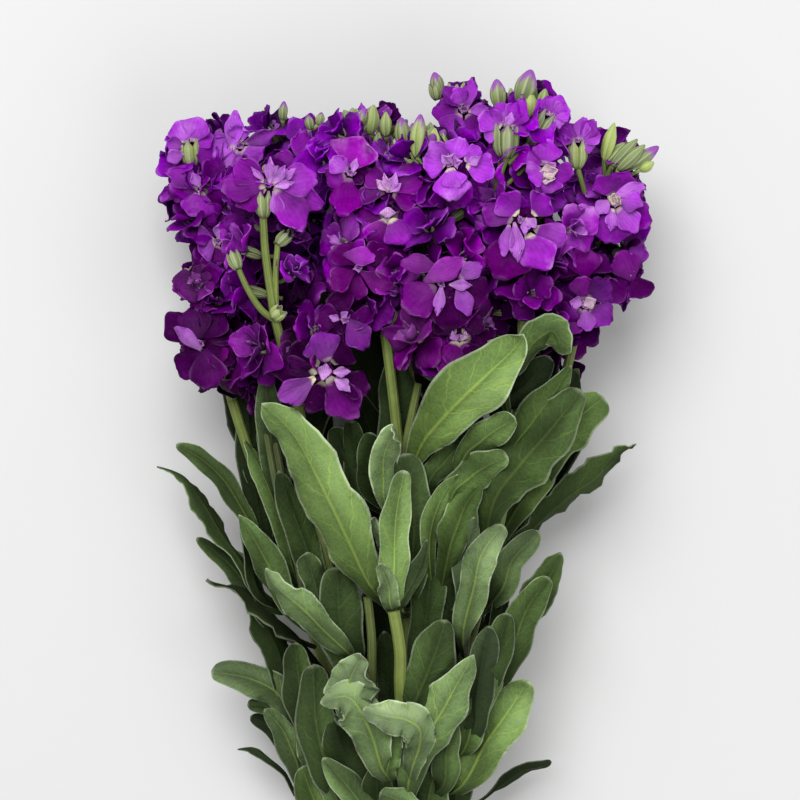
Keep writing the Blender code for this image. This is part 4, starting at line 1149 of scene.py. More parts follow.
# Petals of the opening buds at the tops, given in the same way
openingPetals = (
    ("i", (51, 133.5, 104), (  # big opening bud
        (-2, -1.5, -12, 5.5, 0, 13.5, 0, -10, 0.2, 0.8, 0.2, 0.25, 0.9),
        (-0.5, -1, -2.5, 12, 0, 12, 0, -10, 0.1, 0.78, 0.2, 0.22, 0.9),
        (2, -1, 9.5, 10.5, 1, 14, 0, -15, 0.2, 0.66, 0.25, 0.12, 0.7),
        (3, -2, 12.5, 1.5, 0, 11, 20, -20, 0.2, 0.62, 0.3, 0.1, 0.5),
        (-3, -3, -11, -5, -2, 10, 0, -10, 0.2, 0.85, 0.15, 0.4, 0.9),
        (0.5, -2, 3, 6, 3, 4.5, 0, 10, 0.4, 0.9, 0.15, 0.6, 0.9),
    )),
    ("i", (72.5, 139.5, 100), (  # opening bud that leans right
        (-0.5, -1.5, -0.5, 9, 0, 10, 0, -10, 0.2, 0.72, 0.25, 0.12, 0.6),
        (0.5, -1, 5.5, 8.5, 0, 12, 0, -15, 0.2, 0.76, 0.22, 0.18, 0.7),
        (1.5, -1.5, 9, 2.5, 0, 12, 0, -15, 0.2, 0.84, 0.18, 0.3, 0.8),
        (1.5, -3, 8.5, -4.5, -1, 9, 0, -15, 0.2, 0.8, 0.2, 0.3, 0.9),
        (-0.5, -1.5, -3, 5.5, -2, 8, 0, -10, 0.2, 0.62, 0.3, 0.08, 0.3),
    )),
    ("j", (87, 127, 92), (  # opening bud over the gap
        (-1.5, -1, -13, 3.5, 0, 10, 0, -15, 0.3, 0.6, 0.3, 0.1, 0.3),
        (-1.5, -0.5, -7, 8.5, 0, 9, 0, -10, 0.3, 0.62, 0.3, 0.1, 0.3),
        (0.5, -0.5, 3.5, 11, 1, 8.5, 0, -10, 0.3, 0.74, 0.22, 0.22, 0.5),
        (1.5, -0.5, 8.5, 10, 0, 9, 0, -10, 0.3, 0.55, 0.3, 0.08, 0.3),
        (2, -1.5, 11.5, 3.5, 0, 9, 0, -15, 0.3, 0.64, 0.25, 0.16, 0.3),
        (1.5, -2.5, 8.5, -3.5, -1, 7.5, 0, -20, 0.3, 0.66, 0.25, 0.2, 0.3),
    )),
    ("a", (-105, 130, 66), (  # opening bud at the left corner
        (-1.5, -2, -5, 9, 1, 14, 0, -10, 0.1, 0.82, 0.18, 0.34, 0.8),
        (2, -1.5, 6, 11, 1, 15, 0, -15, 0.1, 0.78, 0.2, 0.28, 0.7),
        (3, -3, 12, 2, -1, 11, 0, -15, 0.2, 0.62, 0.25, 0.12, 0.4),
        (-2.5, -4, -11, -1, -1, 8, 0, -15, 0.3, 0.5, 0.35, 0.1, 0.2),
        (-2.5, -7, -10.5, -10, -2, 8, 0, -15, 0.3, 0.62, 0.25, 0.25, 0.3),
        (3, -6, 13, -10, -3, 12, 0, -15, 0.2, 0.5, 0.4, 0.05, 0.2),
    )),
    ("d", (32, 145, 62), (  # top floret
        (1.5, 0, 3.5, 16.5, 1, 7.5, 0, -10, 0.3, 0.72, 0.25, 0.14, 0.3),
        (-1.5, 1.5, -12, 10, 1, 11, 20, -15, 0.4, 0.5, 0.35, 0.05, 0.1),
        (-0.5, 2, -4.5, 11, 2, 9.5, 0, -15, 0.2, 0.74, 0.22, 0.2, 0.4),
        (-3, -1, -16, -1, -1, 13.5, 0, -25, 0.1, 0.48, 0.4, 0.05, 0.2),
        (-2, -2, -8.5, -13.5, 0, 15, 0, -25, 0, 0.66, 0.25, 0.14, 0.4),
        (2, -1, 13, 1, 0, 7, 0, -15, 0.3, 0.72, 0.25, 0.25, 0.4),
        (1.5, -2.5, 8, -12, -2, 13, 0, -25, 0.1, 0.48, 0.4, 0.05, 0.3),
    )),
    ("c", (-6, 144, 54), (  # petals behind the bud row
        (-12, -8, -13.5, 6, -1, 5.5, 0, -10, 0.4, 0.72, 0.22, 0.28, 0),
        (-10, -6, -6.5, 5, -2, 6, 0, -10, 0.4, 0.8, 0.2, 0.4, 0),
        (-1.5, -5, -1, 5, -1, 7, 0, -10, 0.4, 0.5, 0.35, 0.1, 0),
        (2, -18, 3, -27.5, 6, 12.5, 0, -25, 0.2, 0.7, 0.25, 0.18, 0),
        (0.5, -17, -3, -11.5, 4, 7, 0, -15, 0.3, 0.6, 0.3, 0.18, 0),
    )),
)

# Calyces that show: head, foot, end, radius, lightness and yellowness
shownCalyces = (
    ("i", (51, 118, 98), (51, 134.5, 103), 6, 0.62, 0.35),
    ("i", (63.5, 125, 94), (73, 140.5, 99), 4.8, 0.5, 0.25),
    ("j", (87, 114, 86), (87, 127.5, 91), 4.5, 0.75, 0.95),
    ("a", (-104, 117, 60), (-105, 130.5, 65), 4.8, 0.8, 0.85),
    ("e", (-66, 89, 100), (-66.5, 101.5, 104), 4.2, 0.62, 0.55),
    ("e", (-78.5, 63.5, 100), (-82, 72, 98), 3.2, 0.55, 0.45),
    ("e", (-59.5, 75.5, 98), (-54.5, 81, 97), 3, 0.55, 0.35),
    ("d", (18.5, 150, 62), (17, 158, 64), 3, 0.6, 0.5),
    ("e", (-62, 40, 97), (-57, 44, 99), 3.6, 1.0, 0.8),
    ("g", (-4, 36, 82), (-1, 45, 84), 1.8, 0.6, 0.7),
)

# Stalks that show: head, radius at the top and at the foot, route
shownStalks = (
    ("e", 1.8, 2.6, (
        (-66.5, 90.5, 99), (-65.5, 72.5, 98), (-63, 54, 97), (-61, 41, 95), (-57, 24, 90), (-52, 4, 84))),
    ("e", 1.3, 1.8, ((-78.5, 64, 99), (-74, 54, 100), (-67.5, 44, 98), (-61, 39, 95))),
    ("e", 1.4, 1.6, ((-59.5, 75.5, 97), (-60.5, 62, 97), (-60.5, 50, 96), (-60.5, 41, 95))),
    ("i", 2.5, 1.1, ((51, 118.5, 98), (48.5, 110, 97), (45.5, 100, 90))),
    ("i", 1.3, 1.4, ((63.5, 125.5, 94), (58.5, 121, 96), (52.5, 115, 97))),
    ("i", 0.9, 1.1, ((62, 114, 96), (56, 108.5, 96), (48.5, 101.5, 92))),
    ("j", 1.2, 1.3, ((87, 114.5, 86), (88.5, 109, 86), (91, 102, 80))),
    ("a", 1.2, 1.3, ((-104, 117.5, 60), (-102, 110, 56), (-99, 100, 52))),
    ("j", 1, 1.5, ((113, 114, 78), (108, 108, 78), (104, 100, 70))),
    ("j", 1, 1.5, ((100.5, 118.5, 78), (101, 112, 76), (102, 102, 70))),
    ("j", 1, 1.3, ((104, 115, 78), (101.5, 108, 76), (101, 102, 70))),
)


def addPortrait(bm, centre, petals, seed):
    # petals given one by one, each laid from its claw to its tip
    centre = place(centre)
    # painted light and shade: florets higher up are lighter, as lit from above, low ones darker
    shade = 0.55 + 0.60 * smoothStep(20 * mm, 125 * mm, centre.y)
    for k, row in enumerate(petals):
        clawX, clawY, tipX, tipY, tipZ, width, roll, bend, fold, light, hue, pale, throat = row
        claw = centre + place((clawX, clawY, 0))
        chord = centre + place((tipX, tipY, tipZ)) - claw
        way = chord.normalized()
        normal = (up - way * way.dot(up)).normalized()
        normal = Matrix.Rotation(math.radians(roll), 3, way) @ normal
        half = math.radians(bend) / 2 or 0.005
        ahead = turned(way, -normal, half)
        lifted = turned(normal, way, half)
        arc = chord.length * half / math.sin(half)
        grid = shownGrid if width > 9 else outerGrid
        swing = randomly(seed * 3.7, k * 5.9, 0.4)
        if width < 7:
            fold += 0.35
        petal = (arc, width * mm, 2 * half, 0.06 + 0.22 * swing, fold, 0.7 * swing, grid)
        pale *= 0.5 if width > 9 else 0.9
        addPetal(bm, claw, ahead, lifted, petal, (light * shade, hue, pale, throat), seed * 13 + k)
    if len(petals) > 3:
        addHeart(bm, centre, random.Random(seed))


heart = {
    "backing": (6, 8 * mm, 8 * mm, 4, (0.24, 0.7, 0.0, 0.25)),
    "middle": (5, 4.5 * mm, 2.6 * mm, 50, (0.66, 0.3, 0.45, 1.15)),
    "sink": 3.5 * mm,
}


def addHeart(bm, centre, rng):
    # closes the middle of a floret: petals under its claws, dark as painted shade, and a few narrow
    # pale ones that stand up
    for ring in ("backing", "middle"):
        count, length, width, rise, tone = heart[ring]
        foot = centre - up * heart["sink"] * (1 if ring == "backing" else 0.6)
        start = rng.uniform(0, math.tau)
        for k in range(count):
            turn = start + math.tau * k / count + rng.uniform(-0.25, 0.25)
            low = math.radians(rise + rng.uniform(-12, 12))
            radial = Vector((math.cos(turn), math.sin(turn), 0))
            ahead = turned(radial, up, low)
            normal = turned(up, -radial, low)
            petal = (length * rng.uniform(0.8, 1.1), width, 0.3, 0.1, 0.3, 0.0, smallGrid)
            addPetal(bm, foot, ahead, normal, petal, tone, rng.uniform(0, 90))


def leaning(right, high):
    # a direction towards the viewer, leaned to the right and to the flowers' tops by so many degrees
    a, b = math.radians(right), math.radians(high)
    return Vector((math.sin(a) * math.cos(b), math.sin(b), math.cos(a) * math.cos(b)))


def addCalyx(bm, stalkFoot, end, radius, light, yellow, rng):
    out = end - stalkFoot
    addSepals(bm, stalkFoot, out.normalized(), out.length, radius, rng.uniform(0, 1), rng, light, yellow)


# Places, in plan, that no floret covers, each with its radius: beside the low right florets, under the left
# one, in the notch at the left, and over the two rows of buds
clearPlaces = (
    (109, 22, 21), (-102, -3, 12), (-113, 66, 9), (-114, 57, 6), (-112, 76, 8), (-113, 40, 8),
    (-9, 139, 15), (13, 131, 12),
)


def inClearPlace(centre):
    return any((centre - place((x, y, 0))).xy.length < radius * mm for x, y, radius in clearPlaces)


def behindPortrait(centre):
    # whether a floret of the frame is the one that a portrait shows
    return any((place(row[1]) - centre).xy.length < 13 * mm and centre.z > row[1][2] * mm - 26 * mm
               for row in portraitFlorets)


def floretRows():
    rows = {stem.name: [] for stem in stems}
    reach = floretPlan["seat"]
    for k, (name, t, turn, size, kind) in enumerate(frontFlorets):
        stem = stemNamed[name]
        seat = stem.base.lerp(stem.coreTop, t)
        out, spin = facing(stem, math.radians(turn), t), math.tau * draw(k, 9)
        kept = foundSize(stem, seat, out, size, spin)
        if kept:
            rows[name].append([seat + out * reach * kept, out, max(kept, 0.8), spin, kind, 1.0])
    commonKinds = ("open", "messy", "messy", "folded", "flat", "open")
    for stem in stems:
        for k, (seat, out, size, spin) in enumerate(spiralFlorets(stem)):
            kept = foundSize(stem, seat, out, size, spin)
            if kept:
                kind = commonKinds[int(len(commonKinds) * draw(stem.index, k, 10))]
                rows[stem.name].append([seat + out * reach * kept, out, kept, spin, kind, 1.0])
            elif stem.name != loosePetals["openFront"] or out.z <= 0.5:
                # hidden florets are painted darker, as painted shade
                rows[stem.name].append([seat + out * reach * 0.82, out, 0.9, spin, "hidden", 0.8])
    for k, (name, centre, right, high, size, kind) in enumerate(extraFlorets):
        rows[name].append([place(centre), leaning(right, high), size, math.tau * draw(k, 12), kind, 1.0])
    for stem in stems:
        rows[stem.name] = [row for row in rows[stem.name] if not inClearPlace(row[0])]
        for row in rows[stem.name]:
            if behindPortrait(row[0]):
                # a floret behind a portrait sinks and is painted darker, as painted shade
                row[0] = row[0] - up * 3 * mm
                row[4:] = ["hidden", 0.7]
    return rows


def makeHeads():
    rows = floretRows()
    print("florets:", sum(map(len, rows.values())), "and", len(portraitFlorets), "portraits")
    for stem in stems:
        rng = random.Random("head " + stem.name)
        petals, sepals, stalks = newShape(), newShape(), newShape()
        if stem.name != loosePetals["openFront"]:
            axis = [stem.base.lerp(stem.coreTop, k / 12) for k in range(13)]
            addTube(stalks, axis, tapered(2.5 * mm, 1.4 * mm, 12), 12, (0.6, 0.8, 0.1, 0.0))
        addLoosePetals(petals, stem, rng)
        for centre, out, size, spin, kind, shade in rows[stem.name]:
            addFloret(petals, kind, centre, out, size, spin, rng, stem, shade)
            if kind == "hidden" and stem.name == loosePetals["openFront"]:
                continue
            height = min(max((centre - stem.base).dot(stem.axis), 0), (stem.coreTop - stem.base).length)
            seat = stem.base + stem.axis * height
            reach = (centre - seat).length
            sepalLength = min(floretPlan["sepalLength"], reach * 0.62)
            foot = centre - out * sepalLength
            addSepals(sepals, foot, out, sepalLength * 1.12, floretPlan["sepalRadius"], spin, rng)
            start = seat - stem.axis * reach * 0.35
            addStalk(stalks, start, foot + out * mm, out, floretPlan["stalkRadius"], rng)
        for k, (name, centre, portrait) in enumerate(portraitFlorets + openingPetals):
            if name == stem.name:
                addPortrait(petals, centre, portrait, k + 1)
        for foot, end, radius, light, yellow in rowsOf(shownCalyces, stem):
            addCalyx(sepals, place(foot), place(end), radius * mm, light, yellow, rng)
        for row in rowsOf(shownStalks, stem):
            addRoute(stalks, *row, rng)
        finishPiece("petals_" + stem.name, petals, [stockPetal], "petals", "head_" + stem.name,
                    thickness=petalShape["thickness"])
        finishPiece("sepals_" + stem.name, sepals, [sepalSkin], "foliage", thickness=0.4 * mm)
        finishPiece("stalks_" + stem.name, stalks, [stemSkin], "foliage")


makeHeads()
print("flower heads made")


# Buds

budPlan = {
    "length": 14 * mm,
    "radius": 3.0 * mm,
    "count": 6,
    "extra": 5,
    "ribs": 8,
}

# Buds that show: head, foot, tip, radius, how purple the tip is, yellowness
shownBuds = (
    ("d", (20, 152, 62), (17, 163.5, 64), 3.2, 0.7, 0.3),
    ("d", (24.5, 152, 60), (24.5, 158.5, 60), 1.8, 0, 0.4),
    ("d", (28, 151.5, 60), (28.5, 158, 60), 1.8, 0, 0.4),
    ("d", (31.5, 152, 60), (32, 159, 60), 1.8, 0, 0.4),
    ("i", (48.5, 142, 92), (47, 156.5, 94), 4.2, 0.65, 0.35),
    ("i", (58.5, 144, 92), (64, 161, 95), 5.5, 0.6, 0.15),
    ("i", (62.5, 136, 94), (64, 149.5, 96), 3.8, 0, 0.95),
    ("i", (55.5, 144, 90), (54, 152.5, 90), 2.5, 0, 0.3),
    ("i", (68.5, 142, 90), (71, 152, 92), 2.8, 0, 0.6),
    ("j", (100.5, 118, 78), (105.5, 136.5, 82), 3.5, 0, 1),
    ("j", (101.5, 117, 76), (111, 127, 78), 3, 0, 0.25),
    ("j", (104, 115, 78), (117, 128.5, 81), 3.2, 0, 0.2),
    ("j", (107, 113, 80), (120.5, 125.5, 83), 3.2, 0, 0.25),
    ("j", (113, 114, 78), (127.5, 125, 80), 3.5, 0.9, 0.2),
    ("j", (118, 113, 80), (125, 117, 82), 2.5, 0, 0.95),
    ("c", (-15, 131, 74), (-13, 146, 76), 3.6, 0, 0.6),
    ("c", (-7, 130, 74), (-7, 142.5, 76), 3.2, 0, 0.6),
    ("c", (-11.5, 124, 72), (-10.5, 133, 72), 2.4, 0, 0.3),
    ("c", (2, 124, 76), (0.5, 139.5, 78), 3.8, 0.45, 0.45),
    ("c", (5.5, 124, 74), (6.5, 137, 76), 3, 0.45, 0.35),
    ("h", (8, 117.5, 96), (10, 139, 98), 4.2, 0.4, 0.75),
    ("h", (13.5, 120, 92), (14, 132, 93), 2.8, 0, 0.9),
    ("h", (16.5, 120, 94), (17, 132.5, 95), 3.8, 0, 1),
    ("h", (20.5, 120, 90), (21, 130.5, 91), 3, 0, 0.6),
    ("b", (-59.5, 141, 46), (-58.5, 151, 47), 2.5, 0.6, 0.3),
    ("b", (-41, 138, 50), (-39.5, 145, 50), 2.5, 0.4, 0.5),
    ("b", (-45, 136, 48), (-46.5, 144, 48), 2.5, 0.5, 0.3),
)


def addBud(bm, root, out, length, radius, purple, light, yellow, rng):
    # a ribbed oval bud, with the folded petals showing at its tip where it is about to open
    part = newShape()
    bmesh.ops.create_uvsphere(part, u_segments=16, v_segments=10, radius=1, calc_uvs=True)
    layer = toneLayer(part)
    across, lift = sideAxes(out)
    turn = rng.uniform(0, math.tau)
    for vert in part.verts:
        t = (vert.co.z + 1) / 2
        phi = math.atan2(vert.co.y, vert.co.x)
        ribs = 1 + 0.06 * math.cos(budPlan["ribs"] * phi)
        ribs -= 0.14 * math.exp(-(math.sin(2 * phi) / 0.25) ** 2)
        shape = 1.05 - 0.42 * smoothStep(0.55, 1.0, t) * (1 - 0.5 * purple)
        ring = math.hypot(vert.co.x, vert.co.y) * ribs * shape * radius
        sideways = turned(across, lift, phi + turn)
        vert.co = root + out * length * t + sideways * ring
        sepalEnd = 0.74 + 0.20 * abs(math.cos(2 * phi)) - 0.20 * purple
        tip = smoothStep(sepalEnd - 0.03, sepalEnd + 0.05, t) * smoothStep(0.0, 0.3, purple)
        # painted shade in the grooves between the sepals
        grooveShade = 0.35 * math.exp(-((math.sin(2 * phi)) / 0.3) ** 2)
        vert[layer] = (light * (0.7 + 0.3 * t) - grooveShade, yellow, 0.10 + 0.20 * t, tip)
    addInto(bm, part)


def makeBuds():
    look = budPlan
    for stem in stems:
        rng = random.Random("buds " + stem.name)
        bm = newShape()
        across, lift = sideAxes(stem.axis)
        foot = stem.coreTop + stem.axis * plan["gap"]
        tipStalk = [foot.lerp(foot + stem.axis * stem.buds * 0.6, k / 4) for k in range(5)]
        addTube(bm, tipStalk, tapered(1.5 * mm, 0.9 * mm, 4), 10, (0.6, 0.7, 0.2, 0.0))
        rows = []
        for k in range(look["count"]):
            turn = goldenAngle * k + 2 * stem.index
            lean = math.radians(14 + 34 * (1 - k / look["count"]))
            root = foot + stem.axis * stem.buds * (0.16 + 0.24 * k / look["count"])
            length = look["length"] * (1.05 - 0.3 * k / look["count"])
            rows.append((root, turn, lean, length, look["radius"]))
        for k in range(look["extra"]):
            turn = goldenAngle * (k + look["count"]) + 2 * stem.index
            lean = math.radians(32 * (1 - k / look["extra"]))
            root = foot + stem.axis * stem.buds * (0.30 + 0.30 * k / look["extra"])
            rows.append((root, turn, lean, look["length"] * 0.62, look["radius"] * 0.66))
        for k, (root, turn, lean, length, radius) in enumerate(rows):
            sideways = turned(across, lift, turn)
            out = turned(stem.axis, sideways, lean).normalized()
            purple = rng.uniform(0.2, 1.0) if k < 4 else 0.0
            stalk = [root, root + out * length * 0.18, root + out * length * 0.3]
            addTube(bm, stalk, [0.8 * mm] * 3, 6, (0.6, 0.6, 0.3, 0.0))
            yellow = rng.uniform(0.2, 0.7)
            light = rng.uniform(0.5, 0.9)
            addBud(bm, root + out * length * 0.15, out, length * 0.85, radius, purple, light, yellow, rng)
        for root, tip, radius, purple, yellow in rowsOf(shownBuds, stem):
            root, tip = place(root), place(tip)
            length, out = (tip - root).length, (tip - root).normalized()
            addBud(bm, root, out, length, radius * mm, purple, 0.75 + 0.25 * yellow, yellow, rng)
            core = stem.at(1) + stem.axis * (root - stem.base).dot(stem.axis) * 0.93
            addStalk(bm, core, root + out * mm, out, 0.9 * mm, rng)
        finishPiece("budCluster_" + stem.name, bm, [budSkin], "buds", "buds_" + stem.name)


makeBuds()
print("buds made")


# Leaves

leafPlan = {
    "rib": 0.7 * mm,
    "fold": 0.15,
    "wave": 0.22,
    "paintedHalfLight": 0.26,
    "extraFold": 0.14,
    "stalkShare": 0.16,
    "widestAt": 0.58,
    "bend": 0.40,
    "aside": 0.30,
    "floor": 1.2 * mm,
    "nudges": [(turn, lift) for lift in (0, 7, 14, -7, 22) for turn in (0, 11, -11, 22, -22, 35, -35)],
    "fill": {
        "from": -246,
        "to": -24,
        "count": 8,
        "length": 84 * mm,
        "width": 19 * mm,
        "spread": 24,
        "reach": 98 * mm,
    },
    "grid": (10, 22),
    "shownGrid": (14, 34),
    "thickness": 0.55 * mm,
    "edge": 0.09,
    # painted light and shade on the leaves: uneven patches, and darker low down between lightFrom and lightTo
    "unevenLight": 0.55,
    "lightFrom": 35 * mm,
    "lightTo": 82 * mm,
    "sameLeaf": 21 * mm,
    "fillTop": 84 * mm,
    "notDrawn": [(87, -72, 29), (72, -131, 42), (72, -132, 47)],
}

